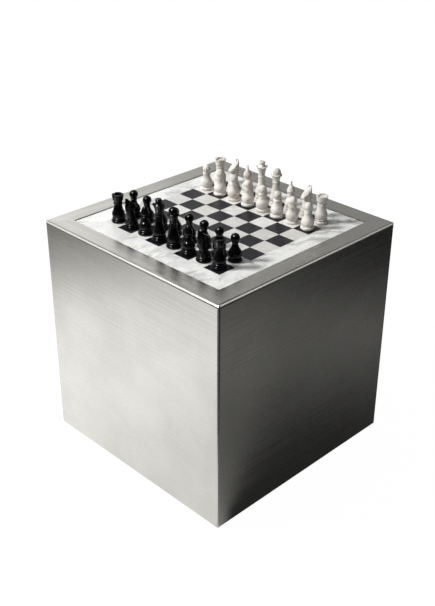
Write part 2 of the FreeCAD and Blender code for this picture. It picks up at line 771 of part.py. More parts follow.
def knight(body):
    """A horse's head with curved cheeks and a cleft between its ears, on a turned plinth."""
    reach, height = "{knight_reach}", "{knight_height}"
    side = new_sketch(body, "XZ_Plane")
    draw_outline(side, knight_points(KNIGHT_SIDE))
    add_feature(body, "Pad", side, SideType="Symmetric", Length="{knight_thick}")
    cheeks = new_sketch(body, "XY_Plane")
    thin, thick = "{knight_mane_thick} / 2", "{knight_thick} / 2"
    curve = f"({reach}^2 + ({thick} - {thin})^2) / (2 * ({thick} - {thin}))"
    for sign in ("", "-"):
        draw_outline(
            cheeks,
            [
                (f"{sign}(-{reach})", f"{sign}({thin})"),
                (f"{sign}({reach})", f"{sign}({thin})", f"-{curve}"),
                (f"{sign}({reach})", f"{sign}({thick} + {reach})"),
                (f"{sign}(-{reach})", f"{sign}({thick} + {reach})"),
            ],
        )
    head = add_feature(body, "Pocket", cheeks, Type="ThroughAll", SideType="Symmetric")
    ease_edges(body, "Fillet", head, on_a_cheek, "{knight_rounding}")
    mouth = new_sketch(body, "XZ_Plane")
    draw_outline(mouth, knight_points(KNIGHT_MOUTH))
    add_feature(body, "Pocket", mouth, Type="ThroughAll", SideType="Symmetric")
    cleft = new_sketch(body, "YZ_Plane", {"z": "{knight_ear_start}"})
    half = "{knight_ear_gap} / 2"
    draw_outline(
        cleft, [("0", f"{height} - {{knight_ear_depth}}"), (half, height), (f"-{half}", height)]
    )
    doc.recompute()
    add_feature(body, "Pocket", cleft, Length=reach, Reversed=True)
    turned(
        body,
        officer_foot()
        + [
            ("{knight_plinth_radius}", "{knight_plinth_level}"),
            ("0", "{knight_plinth_level}"),
        ],
    )


def bishop(body):
    """A foot, a belly, a collar, and a round-shouldered mitre with a small ball on a stalk."""
    neck, level = "{bishop_neck_radius}", "{bishop_collar_level}"
    collar_top = f"{level} + {{ring_height}}"
    tip, tip_neck = "{bishop_tip_radius}", "{bishop_tip_neck}"
    tip_level = f"({{bishop_height}} - {tip} - sqrt({tip}^2 - {tip_neck}^2))"
    mitre = drop(
        "{bishop_mitre_radius}",
        "{bishop_mitre_level}",
        collar_top,
        "{bishop_shoulder_radius}",
        "{bishop_shoulder_level}",
    )
    stalk = [(tip_neck, "{bishop_stalk_level}"), (tip_neck, tip_level)]
    turned(
        body,
        officer_foot()
        + belly("{bishop_belly_radius}", "{bishop_belly_level}", "{bead_top}", neck, level)
        + ridge("{bishop_collar_radius}", "{bead_ridge}", level, collar_top)
        + mitre
        + stalk
        + [("0", "{bishop_height}", tip)],
    )


def queen(body):
    """A foot, a belly, a ringed neck, a flared crown with a notched rim, and a button on a cap."""
    neck, level = "{queen_neck_radius}", "{queen_neck_level}"
    rim, rim_level = "{queen_crown_radius}", "{queen_crown_level}"
    cap = f"{rim} - {{queen_crown_wall}}"
    ring_top = f"{level} + {{ring_height}}"
    button_level = "{queen_height} - {queen_button_height}"
    turned(
        body,
        officer_foot()
        + belly("{queen_belly_radius}", "{queen_belly_level}", "{bead_top}", neck, level)
        + ridge("{queen_ring_radius}", "{bead_ridge}", level, ring_top)
        + [(neck, ring_top)]
        + flare(neck, ring_top, rim, rim_level)
        + [
            (cap, f"{rim_level} - {{queen_cap_drop}}"),
            ("{queen_cap_neck}", button_level),
        ]
        + ridge("{queen_button_radius}", "{queen_button_ridge}", button_level, "{queen_height}")
        + [("0", "{queen_height}")],
    )
    notch_face = new_sketch(body, "YZ_Plane", {"z": cap})
    draw_circle(notch_face, ("0", rim_level), "{queen_notch_radius}")
    doc.recompute()
    notch = add_feature(body, "Pocket", notch_face, Length=rim, Reversed=True)
    add_ring(body, notch, QUEEN_NOTCHES)


def king(body):
    """A foot, a belly, a ringed neck that flares to a collar, and a dome."""
    neck, level = "{king_neck_radius}", "{king_neck_level}"
    collar, collar_level = "{king_collar_radius}", "{king_collar_level}"
    ring_top = f"{level} + {{ring_height}}"
    collar_top = f"{collar_level} + {{bead_height}}"
    dome, centre = "{king_dome_radius}", "({king_height} - {king_dome_radius})"
    turned(
        body,
        officer_foot()
        + belly("{king_belly_radius}", "{king_belly_level}", "{bead_top}", neck, level)
        + ridge("{king_ring_radius}", "{bead_ridge}", level, ring_top)
        + [(neck, ring_top)]
        + flare(neck, ring_top, f"{collar} - 2 * {{bead_ridge}}", collar_level)
        + ridge(collar, "{bead_ridge}", collar_level, collar_top)
        + [
            (f"sqrt({dome}^2 - ({centre} - ({collar_top}))^2)", collar_top),
            ("0", "{king_height}", dome),
        ],
    )


MAKERS = {
    "pawn": pawn,
    "rook": rook,
    "knight": knight,
    "bishop": bishop,
    "queen": queen,
    "king": king,
}


def chessman(name, kind, column, row, turn):
    """One chessman in the middle of a square, turned about the upright axis."""
    body = new_body(name)
    MAKERS[kind](body)
    x = f"({column} - 3.5) * {{tile_size}}"
    y = f"({row} - 3.5) * {{tile_size}}"
    place(body, level="{board_level}", turn=turn, x=x, y=y)


def chess_set(colour, back_column, pawn_column, turn):
    """The sixteen chessmen of one colour in their starting places."""
    for row, kind in enumerate(BACK_RANK):
        single = kind in ("king", "queen")
        name = f"{colour}_{kind}" if single else f"{colour}_{kind}_{1 if row < 4 else 2}"
        chessman(name, kind, back_column, row, turn)
    for row in range(SQUARES):
        chessman(f"{colour}_pawn_{row + 1}", "pawn", pawn_column, row, turn)


# ---- the whole table ----------------------------------------------------------------------


def build():
    """Make every piece of the table and the chess set."""
    fill_sheet()
    for side in SIDES:
        steel_panel(side)
    flange_screws()
    glides()
    base_board()
    carcass_sides()
    corner_battens()
    deck_board()
    rim_strips()
    board_pads()
    board_slab()
    for side in SIDES:
        border_strip(side)
    tiles("dark_tiles", ((0, 0), (1, 1)))
    tiles("light_tiles", ((1, 0), (0, 1)))
    chess_set("black", 0, 1, 180)
    chess_set("white", SQUARES - 1, SQUARES - 2, 0)


def check_and_write():
    """Refuse a failed feature or an empty or faulty solid, then write one file to a piece."""
    doc.recompute()
    for item in doc.Objects:
        if "Invalid" in item.State or "Error" in item.State:
            raise RuntimeError(f"{item.Label}: {item.State}")
    bodies = [item for item in doc.Objects if item.TypeId == "PartDesign::Body"]
    for body in bodies:
        if body.Shape.isNull() or not body.Shape.isValid() or not body.Shape.Solids:
            raise RuntimeError(f"{body.Label}: no valid solid")
    os.makedirs("parts", exist_ok=True)
    for body in bodies:
        body.Shape.exportStep(f"parts/{body.Label}.step")
    print(f"{len(bodies)} pieces, {sum(len(body.Shape.Solids) for body in bodies)} solids")


build()
check_and_write()
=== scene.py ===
"""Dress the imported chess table: brushed steel, inlaid stone, turned chessmen, studio and camera.

Metres throughout, in the part's own frame: +Z up, the floor at zero, the front face along -Y and
the dark chessmen along the left side. Forms are worked out in millimetres and scaled once.
"""

import logging
import math
from collections.abc import Sequence
from dataclasses import dataclass, field
from enum import Enum
from functools import reduce

import bpy
import numpy as np
from mathutils import Matrix, Vector

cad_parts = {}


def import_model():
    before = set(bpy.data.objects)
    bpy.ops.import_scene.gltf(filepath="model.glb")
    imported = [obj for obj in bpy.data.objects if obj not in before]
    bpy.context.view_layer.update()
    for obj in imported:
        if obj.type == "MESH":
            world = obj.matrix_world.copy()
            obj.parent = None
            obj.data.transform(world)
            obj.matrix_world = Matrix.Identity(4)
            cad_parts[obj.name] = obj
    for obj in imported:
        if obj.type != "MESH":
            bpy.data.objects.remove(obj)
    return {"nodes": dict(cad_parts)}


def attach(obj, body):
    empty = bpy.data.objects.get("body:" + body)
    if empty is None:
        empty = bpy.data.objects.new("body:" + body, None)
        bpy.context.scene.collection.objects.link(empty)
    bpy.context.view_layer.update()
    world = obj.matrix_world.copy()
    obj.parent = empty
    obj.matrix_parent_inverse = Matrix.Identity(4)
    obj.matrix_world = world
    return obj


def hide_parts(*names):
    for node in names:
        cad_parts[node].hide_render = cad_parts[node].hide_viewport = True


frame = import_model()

log = logging.getLogger("chess_table")

# The table's sizes are in millimetres.
MM = 0.001
SQUARES = 8
TILE = 38.0
HALF = 230.0
TOP = 460.0
BOARD_LEVEL = 461.0
SIDES = ("front", "right", "back", "left")
BACK_RANK = ("rook", "knight", "bishop", "king", "queen", "bishop", "knight", "rook")
SHARP_ANGLE = math.radians(34.0)

Triple = tuple[float, float, float]
Ramp = tuple[float, float, float, float]
Socket = bpy.types.NodeSocket
Value = float | Socket
Inputs = dict[str | int, object]


class Grain(Enum):
    """The direction in which a steel panel is brushed, in degrees from X."""

    ALONG_X = 0.0
    ALONG_Y = 90.0


class Shade(Enum):
    """The two colours of chessmen."""

    BLACK = "black"
    WHITE = "white"


# ---- node building ------------------------------------------------------------------------


def tone(colour: Triple | Socket) -> tuple[float, ...] | Socket:
    """A colour with its alpha added. A socket stays as it is."""
    return colour if isinstance(colour, Socket) else (*colour, 1.0)


class Nodes:
    """Adds nodes to one material, world or group, and joins them as they are added."""

    def __init__(self, tree: bpy.types.NodeTree) -> None:
        """Start in an emptied node tree."""
        self.tree = tree
        tree.nodes.clear()

    def feed(self, node: bpy.types.Node, inputs: Inputs) -> bpy.types.Node:
        """Join sockets to a node's inputs, or set them to constants.

        Args:
            node: The node.
            inputs: A socket or a constant for each input named or numbered.

        Returns:
            The node itself.
        """
        for name, value in inputs.items():
            if isinstance(value, Socket):
                self.tree.links.new(value, node.inputs[name])
            else:
                node.inputs[name].default_value = value
        return node

    def add(self, kind: str, inputs: Inputs | None = None, **settings: object) -> bpy.types.Node:
        """Add one node.

        Args:
            kind: The end of the node's type name.
            inputs: A socket or a constant for each input named or numbered.
            settings: The node's own properties.

        Returns:
            The new node.
        """
        node = self.tree.nodes.new(f"ShaderNode{kind}")
        for name, value in settings.items():
            setattr(node, name, value)
        return self.feed(node, inputs or {})

    def math(self, operation: str, first: Value, second: Value = 0.0) -> Socket:
        """Combine two values."""
        return self.add("Math", {0: first, 1: second}, operation=operation).outputs[0]

    def total(self, *values: Value) -> Socket:
        """Add values together."""
        return reduce(lambda first, second: self.math("ADD", first, second), values)

    def product(self, *values: Value) -> Socket:
        """Multiply values together."""
        return reduce(lambda first, second: self.math("MULTIPLY", first, second), values)

    def vector(self, operation: str, first: object, second: object = (0, 0, 0)) -> Socket:
        """Combine two vectors, or a vector with the same value along every axis."""
        node = self.add("VectorMath", {0: first, 1: second}, operation=operation)
        return node.outputs["Value" if operation == "DOT_PRODUCT" else 0]

    def remap(
        self,
        value: Value,
        low: float,
        high: Value,
        start: Value = 0.0,
        end: Value = 1.0,
        kind: str = "SMOOTHSTEP",
    ) -> Socket:
        """Carry a value from one range to another.

        Args:
            value: The value to carry over.
            low: Where the first range starts.
            high: Where the first range ends.
            start: The result where it starts and before.
            end: The result where it ends and beyond.
            kind: How the result runs between them.

        Returns:
            The result.
        """
        inputs = {"Value": value, "From Min": low, "From Max": high, "To Min": start, "To Max": end}
        return self.add("MapRange", inputs, interpolation_type=kind).outputs["Result"]

    def mix(self, share: Value, first: Triple | Socket, second: Triple | Socket) -> Socket:
        """Blend two colours by the share of the second."""
        inputs = {0: share, 6: tone(first), 7: tone(second)}
        return self.add("Mix", inputs, data_type="RGBA").outputs[2]

    def blend(self, share: Value, first: Socket, second: Socket) -> Socket:
        """Blend two shaders by the share of the second."""
        return self.add("MixShader", {0: share, 1: first, 2: second}).outputs[0]

    def white(self, kind: str, strength: Value) -> Socket:
        """White light of one kind of shader."""
        return self.add(kind, {"Color": tone((1.0, 1.0, 1.0)), "Strength": strength}).outputs[0]

    def noise(self, vector: Socket, scale: Value, detail: float = 3.0, stir: float = 0.0) -> Socket:
        """A cloudy value around one half.

        Args:
            vector: Where the noise is read.
            scale: How many clouds there are to a metre.
            detail: How many finer layers are added.
            stir: How far the clouds are stirred.

        Returns:
            The value.
        """
        inputs = {"Vector": vector, "Scale": scale, "Detail": detail, "Distortion": stir}
        return self.add("TexNoise", inputs).outputs[0]

    def bump(self, height: Socket, strength: float, distance: float, **more: Socket) -> Socket:
        """Tilt the normal, or another normal given in its stead, by the slope of a height."""
        inputs = {"Height": height, "Strength": strength, "Distance": distance}
        return self.add("Bump", inputs | more).outputs[0]

    def turned(self, vector: Socket, degrees: float, scale: Triple = (1.0, 1.0, 1.0)) -> Socket:
        """Scale a point and turn it about the upright axis."""
        inputs = {"Vector": vector, "Rotation": (0.0, 0.0, math.radians(degrees)), "Scale": scale}
        return self.add("Mapping", inputs).outputs[0]

    def group(self, name: str, inputs: Inputs) -> bpy.types.bpy_prop_collection:
        """Place a shared effect by its name, and give its outputs."""
        return self.add("Group", inputs, node_tree=bpy.data.node_groups[name]).outputs


def new_group(
    name: str, inputs: dict[str, float | None], outputs: Sequence[str]
) -> tuple[Nodes, bpy.types.bpy_prop_collection, bpy.types.Node]:
    """Start a shared effect.

    Args:
        name: The node group's name.
        inputs: Each input's start value, or None for a vector.
        outputs: The names of the values that it puts out.

    Returns:
        Its node builder, what it is given, and its output node.
    """
    tree = bpy.data.node_groups.new(name, "ShaderNodeTree")
    for key, value in inputs.items():
        kind = "NodeSocketVector" if value is None else "NodeSocketFloat"
        socket = tree.interface.new_socket(key, in_out="INPUT", socket_type=kind)
        if value is not None:
            socket.default_value = value
    for key in outputs:
        kind = "NodeSocketVector" if key == "Normal" else "NodeSocketFloat"
        tree.interface.new_socket(key, in_out="OUTPUT", socket_type=kind)
    nodes = Nodes(tree)
    return nodes, tree.nodes.new("NodeGroupInput").outputs, tree.nodes.new("NodeGroupOutput")


def brushed_group() -> None:
    """Build the effect of brushed sheet: fine and broad streaks, and soft clouds.

    Each streak layer is noise on a point whose length along the sheet is squeezed and whose
    other two lengths are stretched, so that it is long one way and fine the other ways.
    """
    inputs = {"Vector": None, "Fine": 1500.0, "Broad": 260.0, "Length": 16.0, "Cloud Scale": 9.0}
    nodes, given, out = new_group("brushed", inputs, ("Streaks", "Bands", "Clouds"))
    for width, squeeze, target in (("Fine", 1.0, "Streaks"), ("Broad", 0.3, "Bands")):
        along = nodes.product(given["Length"], squeeze)
        scale = nodes.add("CombineXYZ", {"X": along, "Y": given[width], "Z": given[width]})
        point = nodes.vector("MULTIPLY", given["Vector"], scale.outputs[0])
        nodes.feed(out, {target: nodes.noise(point, 1.0)})
    clouds = nodes.noise(given["Vector"], given["Cloud Scale"], detail=5.0, stir=0.4)
    nodes.feed(out, {"Clouds": clouds})


def edge_group() -> None:
    """Build the effect of eased edges: the normal of a box with rounded edges, and its mitres.

    With h the box's half sizes, r the radius and p the point, the normal is that of
    sign(p) max(|p| - h + r, 0). It is used only where it agrees with the true normal, so that
    the inner faces of the sheet keep theirs. A seam is where |x| and |y| are the same.
    """
    inputs = {"Vector": None, "Normal": None, "Half": HALF * MM, "Height": TOP * MM}
    inputs |= {"Radius": 0.0042, "Seam Width": 0.0013, "Agreement": 0.5}
    nodes, given, out = new_group("edges", inputs, ("Normal", "Seam"))
    point, normal, half = given["Vector"], given["Normal"], given["Half"]
    tiny = 1e-9
    sizes = nodes.add("CombineXYZ", {"X": half, "Y": half, "Z": given["Height"]}).outputs[0]
    reach = nodes.vector("ABSOLUTE", point)
    sign = nodes.vector("DIVIDE", point, nodes.vector("ADD", reach, (tiny, tiny, tiny)))
    over = nodes.vector("ADD", nodes.vector("SUBTRACT", reach, sizes), given["Radius"])
    turned = nodes.vector("MULTIPLY", nodes.vector("MAXIMUM", over), sign)
    turned = nodes.vector("NORMALIZE", turned)
    likeness = nodes.vector("DOT_PRODUCT", turned, normal)
    agree = nodes.math("GREATER_THAN", likeness, given["Agreement"])
    change = nodes.vector("MULTIPLY", nodes.vector("SUBTRACT", turned, normal), agree)
    parts = nodes.add("SeparateXYZ", {0: reach}).outputs
    gap = nodes.math("ABSOLUTE", nodes.math("SUBTRACT", parts["X"], parts["Y"]))
    # Painted highlight: the mask of a lighter line along the mitre seams, where |x| and |y| meet.
    seam_highlight = nodes.remap(gap, 0.0, given["Seam Width"], 1.0, 0.0)
    nodes.feed(out, {"Normal": nodes.vector("ADD", normal, change), "Seam": seam_highlight})


def vein_group() -> None:
    """Build the effect of veined marble: thin stirred veins, faint ones, and grey clouds.

    A vein is where stirred noise crosses one half: one minus the distance from one half, times
    a sharpness, held above zero. Another noise thins the veins out from place to place.
    """
    inputs = {"Vector": None, "Scale": 9.0, "Sharpness": 14.0}
    nodes, given, out = new_group("veins", inputs, ("Veins", "Threads", "Clouds"))
    vector, scale = given["Vector"], given["Scale"]
    middle, gap_range, cloud_share = 0.5, (0.42, 0.66), 0.7
    for target, finer, stir in (("Veins", 1.0, 1.6), ("Threads", 3.1, 2.2)):
        size = nodes.product(scale, finer)
        value = nodes.noise(vector, size, detail=6.0, stir=stir)
        off = nodes.math("ABSOLUTE", nodes.math("SUBTRACT", value, middle))
        line = nodes.product(off, given["Sharpness"])
        vein = nodes.math("MAXIMUM", nodes.math("SUBTRACT", 1.0, line), 0.0)
        gaps = nodes.remap(nodes.noise(vector, size, detail=2.0), *gap_range)
        nodes.feed(out, {target: nodes.product(vein, gaps)})
    clouds = nodes.noise(vector, nodes.product(scale, cloud_share), detail=6.0, stir=0.8)
    nodes.feed(out, {"Clouds": clouds})


def stone_group() -> None:
    """Build the effect of cut stone tiles: each tile's own tone, its clouds and its flecks.

    The tile's number comes from the point divided by the tile's size and rounded down. It sets
    the tone, and moves the clouds and flecks so that no pattern runs on into the next tile.
    """
    inputs = {"Vector": None, "Tile": TILE * MM, "Cloud Scale": 45.0, "Fleck Scale": 700.0}
    nodes, given, out = new_group("cut_stone", inputs, ("Tone", "Clouds", "Flecks", "Edge"))
    flat = nodes.vector("MULTIPLY", given["Vector"], (1, 1, 0))
    share = nodes.vector("MULTIPLY", flat, nodes.math("DIVIDE", 1.0, given["Tile"]))
    number = nodes.vector("FLOOR", share)
    chance = nodes.add("TexWhiteNoise", {"Vector": number}, noise_dimensions="3D").outputs
    moved = nodes.vector("ADD", given["Vector"], chance["Color"])
    clouds = nodes.noise(moved, given["Cloud Scale"], detail=5.0, stir=0.7)
    flecks = nodes.noise(moved, given["Fleck Scale"], detail=2.0)
    within = nodes.add("SeparateXYZ", {0: nodes.vector("FRACTION", share)}).outputs
    middle, edge_start = 0.5, 0.86
    sides = []
    for axis in ("X", "Y"):
        off = nodes.math("ABSOLUTE", nodes.math("SUBTRACT", within[axis], middle))
        sides.append(nodes.product(off, 1 / middle))
    edge = nodes.remap(nodes.math("MAXIMUM", *sides), edge_start, 1.0)
    nodes.feed(out, {"Tone": chance["Value"], "Clouds": clouds, "Flecks": flecks, "Edge": edge})


def handling_group() -> None:
    """Build the effect of handling: broad smudges and fine dulled specks, both soft masks."""
    inputs = {"Vector": None, "Smudge Scale": 22.0, "Speck Scale": 420.0}
    nodes, given, out = new_group("handling", inputs, ("Smudges", "Specks"))
    smudges = nodes.noise(given["Vector"], given["Smudge Scale"], detail=4.0, stir=0.6)
    specks = nodes.noise(given["Vector"], given["Speck Scale"], detail=2.0)
    smudge_range, speck_range = (0.45, 0.75), (0.62, 0.74)
    nodes.feed(out, {"Smudges": nodes.remap(smudges, *smudge_range)})
    nodes.feed(out, {"Specks": nodes.remap(specks, *speck_range)})


# ---- finishes -----------------------------------------------------------------------------


def finish(name: str) -> bpy.types.Material:
    """Find a finish's material. The added word keeps it apart from the frame's plain ones."""
    return bpy.data.materials[f"{name}_finish"]


def new_material(name: str) -> tuple[bpy.types.Material, Nodes]:
    """Start a material.

    Args:
        name: The material's name.

    Returns:
        The material and its node builder.
    """
    material = bpy.data.materials.new(name)
    material.use_nodes = True
    return material, Nodes(material.node_tree)


@dataclass(frozen=True)
class Finish:
    """A material with one Principled shader. The kinds below work out the shader's inputs.

    Scales are how many marks there are to a metre. A ramp is where a change starts and ends,
    then its results there. A bump is its strength and its depth in metres.
    """

    name: str
    roughness: float = 0.5
    smudged: float = 0.10

    def inputs(self, nodes: Nodes, place: Socket) -> Inputs:
        """Work out the shader's inputs from the place on the object."""
        raise NotImplementedError

    def rubbed(self, nodes: Nodes, smudges: Socket) -> Socket:
        """The roughness, higher where the polish is smudged."""
        return nodes.remap(smudges, 0.0, 1.0, self.roughness, self.roughness + self.smudged)

    def make(self) -> bpy.types.Material:
        """Build the material.

        Returns:
            The material.
        """
        material, nodes = new_material(f"{self.name}_finish")
        place = nodes.add("TexCoord").outputs["Object"]
        shader = nodes.add("BsdfPrincipled", self.inputs(nodes, place))
        nodes.add("OutputMaterial", {"Surface": shader.outputs[0]})
        return material


@dataclass(frozen=True)
class BrushedSteel(Finish):
    """Satin stainless sheet, brushed one way, with soft clouds left by the belt."""

    grain: Grain = Grain.ALONG_X
    light: Triple = (0.68, 0.67, 0.625)
    dull: Triple = (0.60, 0.592, 0.553)
    # Painted highlight: the lighter colour of the line along the mitre seams.
    seam_highlight: Triple = (0.92, 0.91, 0.88)
    roughness: float = 0.27
    smudged: float = 0.03
    smudge_scale: float = 14.0
    streak_share: float = 0.5
    line_share: float = 0.38
    clouding: Ramp = (0.50, 1.07, 0.0, 1.0)
    lines_rough: Ramp = (0.4, 1.1, -0.05, 0.07)
    relief: tuple[float, float] = (0.04, 0.0004)

    def inputs(self, nodes: Nodes, place: Socket) -> Inputs:
        """Streaks and clouds in the colour, a painted highlight along the mitre seams, and streaks
        in the roughness and the relief.

        Args:
            nodes: The material's node builder.
            place: The place on the object.

        Returns:
            The shader's inputs by name.
        """
        brushed = nodes.group("brushed", {"Vector": nodes.turned(place, self.grain.value)})
        handling = nodes.group("handling", {"Vector": place, "Smudge Scale": self.smudge_scale})
        true = nodes.add("TexCoord").outputs["Normal"]
        edges = nodes.group("edges", {"Vector": place, "Normal": true})
        lines = nodes.total(nodes.product(brushed["Streaks"], self.streak_share), brushed["Bands"])
        shade = nodes.total(nodes.product(lines, self.line_share), brushed["Clouds"])
        colour = nodes.mix(nodes.remap(shade, *self.clouding), self.dull, self.light)
        # Painted highlight: a lighter line along the mitre seams.
        colour = nodes.mix(edges["Seam"], colour, self.seam_highlight)
        low, high, less, more = self.lines_rough
        rough = nodes.remap(lines, low, high, self.roughness + less, self.roughness + more)
        rough = nodes.total(rough, nodes.product(handling["Smudges"], self.smudged))
        bump = nodes.bump(lines, *self.relief, Normal=edges["Normal"])
        return {"Base Color": colour, "Roughness": rough, "Normal": bump, "Metallic": 1.0}


@dataclass(frozen=True)
class VeinedMarble(Finish):
    """Polished pale marble with soft grey veins."""

    body: Triple = (0.89, 0.89, 0.87)
    cloud: Triple = (0.72, 0.72, 0.705)
    vein: Triple = (0.32, 0.32, 0.31)
    roughness: float = 0.16
    turn: float = 24.0
    stretch: Triple = (1.0, 1.9, 1.0)
    clouding: Ramp = (0.45, 0.66, 0.0, 1.0)
    veining: float = 0.75
    threading: float = 0.38

    def inputs(self, nodes: Nodes, place: Socket) -> Inputs:
        """Clouds, veins and faint threads in the colour.

        Args:
            nodes: The material's node builder.
            place: The place on the object.

        Returns:
            The shader's inputs by name.
        """
        veins = nodes.group("veins", {"Vector": nodes.turned(place, self.turn, self.stretch)})
        handling = nodes.group("handling", {"Vector": place})
        colour = nodes.mix(nodes.remap(veins["Clouds"], *self.clouding), self.body, self.cloud)
        colour = nodes.mix(nodes.product(veins["Veins"], self.veining), colour, self.vein)
        colour = nodes.mix(nodes.product(veins["Threads"], self.threading), colour, self.vein)
        return {"Base Color": colour, "Roughness": self.rubbed(nodes, handling["Smudges"])}


@dataclass(frozen=True)
class CutStone(Finish):
    """Polished stone tiles with clouds, flecks and a tone of their own for each tile."""

    low: Triple = (0.62, 0.612, 0.585)
    high: Triple = (0.78, 0.772, 0.742)
    fleck: Triple = (0.50, 0.49, 0.46)
    edge: Triple = (0.72, 0.71, 0.68)
    roughness: float = 0.2
    smudged: float = 0.12
    shine: float = 0.5
    smudge_scale: float = 30.0
    cloud_share: float = 0.6
    tone_share: float = 0.4
    clouding: Ramp = (0.2, 0.8, 0.0, 1.0)
    fleck_range: tuple[float, float] = (0.55, 0.75)
    flecks: float = 0.4
    edge_share: float = 0.7

    def inputs(self, nodes: Nodes, place: Socket) -> Inputs:
        """Tones, clouds, flecks and a band of another tone along each tile's edges in the colour.

        Args:
            nodes: The material's node builder.
            place: The place on the object.

        Returns:
            The shader's inputs by name.
        """
        stone = nodes.group("cut_stone", {"Vector": place})
        handling = nodes.group("handling", {"Vector": place, "Smudge Scale": self.smudge_scale})
        clouds = nodes.product(stone["Clouds"], self.cloud_share)
        share = nodes.total(clouds, nodes.product(stone["Tone"], self.tone_share))
        colour = nodes.mix(nodes.remap(share, *self.clouding), self.low, self.high)
        spots = nodes.remap(stone["Flecks"], *self.fleck_range, 0.0, self.flecks)
        colour = nodes.mix(spots, colour, self.fleck)
        colour = nodes.mix(nodes.product(stone["Edge"], self.edge_share), colour, self.edge)
        rough = self.rubbed(nodes, handling["Smudges"])
        return {"Base Color": colour, "Roughness": rough, "Specular IOR Level": self.shine}


@dataclass(frozen=True)
class TurnedStone(Finish):
    """Stone turned on a lathe and polished, with clouds and thin veins through it."""

    body: Triple = (0.76, 0.735, 0.69)
    cloud: Triple = (0.62, 0.585, 0.53)
    vein: Triple = (0.46, 0.41, 0.35)
    roughness: float = 0.34
    smudged: float = 0.08
    veining: float = 0.45
    shine: float = 0.12
    vein_scale: float = 55.0
    sharpness: float = 18.0
    smudge_scale: float = 90.0
    speck_scale: float = 1500.0
    clouding: Ramp = (0.4, 0.7, 0.0, 1.0)
    relief: tuple[float, float] = (0.08, 0.0002)

    def inputs(self, nodes: Nodes, place: Socket) -> Inputs:
        """Clouds and veins in the colour, smudges in the roughness, specks in the relief.

        Args:
            nodes: The material's node builder.
            place: The place on the object.

        Returns:
            The shader's inputs by name.
        """
        grain = {"Vector": place, "Scale": self.vein_scale, "Sharpness": self.sharpness}
        touch = {"Smudge Scale": self.smudge_scale, "Speck Scale": self.speck_scale}
        veins = nodes.group("veins", grain)
        handling = nodes.group("handling", {"Vector": place} | touch)
        colour = nodes.mix(nodes.remap(veins["Clouds"], *self.clouding), self.body, self.cloud)
        colour = nodes.mix(nodes.product(veins["Veins"], self.veining), colour, self.vein)
        rough = self.rubbed(nodes, handling["Smudges"])
        bump = nodes.bump(handling["Specks"], *self.relief)
        looks = {"Base Color": colour, "Roughness": rough, "Normal": bump}
        return looks | {"Specular IOR Level": self.shine}


@dataclass(frozen=True)
class PressedBoard(Finish):
    """Raw fibreboard: a warm mat of fine fibres."""

    light: Triple = (0.52, 0.38, 0.24)
    dark: Triple = (0.36, 0.25, 0.15)
    fibre_scale: float = 900.0
    mottle_scale: float = 40.0
    mottling: Ramp = (0.8, 1.25, 0.0, 1.0)
    fibres_rough: Ramp = (0.3, 0.7, 0.75, 0.9)
    relief: tuple[float, float] = (0.3, 0.0003)

    def inputs(self, nodes: Nodes, place: Socket) -> Inputs:
        """Fibres and mottles in the colour, and fibres in the roughness and the relief.

        Args:
            nodes: The material's node builder.
            place: The place on the object.

        Returns:
            The shader's inputs by name.
        """
        fibres = nodes.noise(place, self.fibre_scale, detail=4.0, stir=1.2)
        mottle = nodes.noise(place, self.mottle_scale, detail=4.0)
        share = nodes.remap(nodes.total(fibres, mottle), *self.mottling)
        colour = nodes.mix(share, self.dark, self.light)
        rough = nodes.remap(fibres, *self.fibres_rough)
        bump = nodes.bump(fibres, *self.relief)
        return {"Base Color": colour, "Roughness": rough, "Normal": bump}


@dataclass(frozen=True)
class Moulded(Finish):
    """Moulded nylon or rubber with a fine matt skin."""

    colour: Triple = (0.08, 0.08, 0.082)
    worn: Triple = (0.14, 0.14, 0.14)
    skin_scale: float = 2600.0
    smudge_scale: float = 60.0
    skin_range: tuple[float, float] = (0.3, 0.7)
    skin_rough: float = 0.06
    relief: tuple[float, float] = (0.25, 0.0002)

    def inputs(self, nodes: Nodes, place: Socket) -> Inputs:
        """Wear in the colour, and the skin in the roughness and the relief.

        Args:
            nodes: The material's node builder.
            place: The place on the object.

        Returns:
            The shader's inputs by name.
        """
        skin = nodes.noise(place, self.skin_scale, detail=2.0)
        handling = nodes.group("handling", {"Vector": place, "Smudge Scale": self.smudge_scale})
        colour = nodes.mix(handling["Smudges"], self.colour, self.worn)
        smooth, rough = self.roughness - self.skin_rough, self.roughness + self.skin_rough
        rough = nodes.remap(skin, *self.skin_range, smooth, rough)
        bump = nodes.bump(skin, *self.relief)
        return {"Base Color": colour, "Roughness": rough, "Normal": bump}


def make_finishes() -> None:
    """Build the shared effects and every material."""
    for build in (brushed_group, edge_group, vein_group, stone_group, handling_group):
        build()
    grains = (Grain.ALONG_X, Grain.ALONG_Y, Grain.ALONG_X, Grain.ALONG_Y)
    turns = (24.0, -35.0, 160.0, 78.0)
    steel = [BrushedSteel(f"steel_{side}", grain=grain) for side, grain in zip(SIDES, grains)]
    marble = [VeinedMarble(f"marble_{side}", turn=turn) for side, turn in zip(SIDES, turns)]
    dark_stone = CutStone(
        "dark_stone",
        low=(0.004, 0.0035, 0.006),
        high=(0.012, 0.0105, 0.017),
        fleck=(0.048, 0.044, 0.053),
        edge=(0.005, 0.0045, 0.006),
        flecks=0.25,
        roughness=0.28,
        shine=0.32,
    )
    black_onyx = TurnedStone(
        "black_onyx",
        body=(0.0015, 0.0015, 0.002),
        cloud=(0.004, 0.0035, 0.0045),
        vein=(0.02, 0.018, 0.02),
        roughness=0.05,
        veining=0.25,
        shine=0.20,
    )
    pad_rubber = Moulded(
        "pad_rubber", colour=(0.03, 0.03, 0.03), worn=(0.06, 0.06, 0.06), roughness=0.8
    )
    others = [
        BrushedSteel("screw_steel", roughness=0.3),
        VeinedMarble("backing_stone", roughness=0.5),
        CutStone("light_stone"),
        TurnedStone("white_onyx"),
        PressedBoard("carcass_board"),
        Moulded("glide_nylon"),
    ]
    for made in (*steel, *marble, dark_stone, black_onyx, pad_rubber, *others):
        made.make()


# ---- surfaces -----------------------------------------------------------------------------


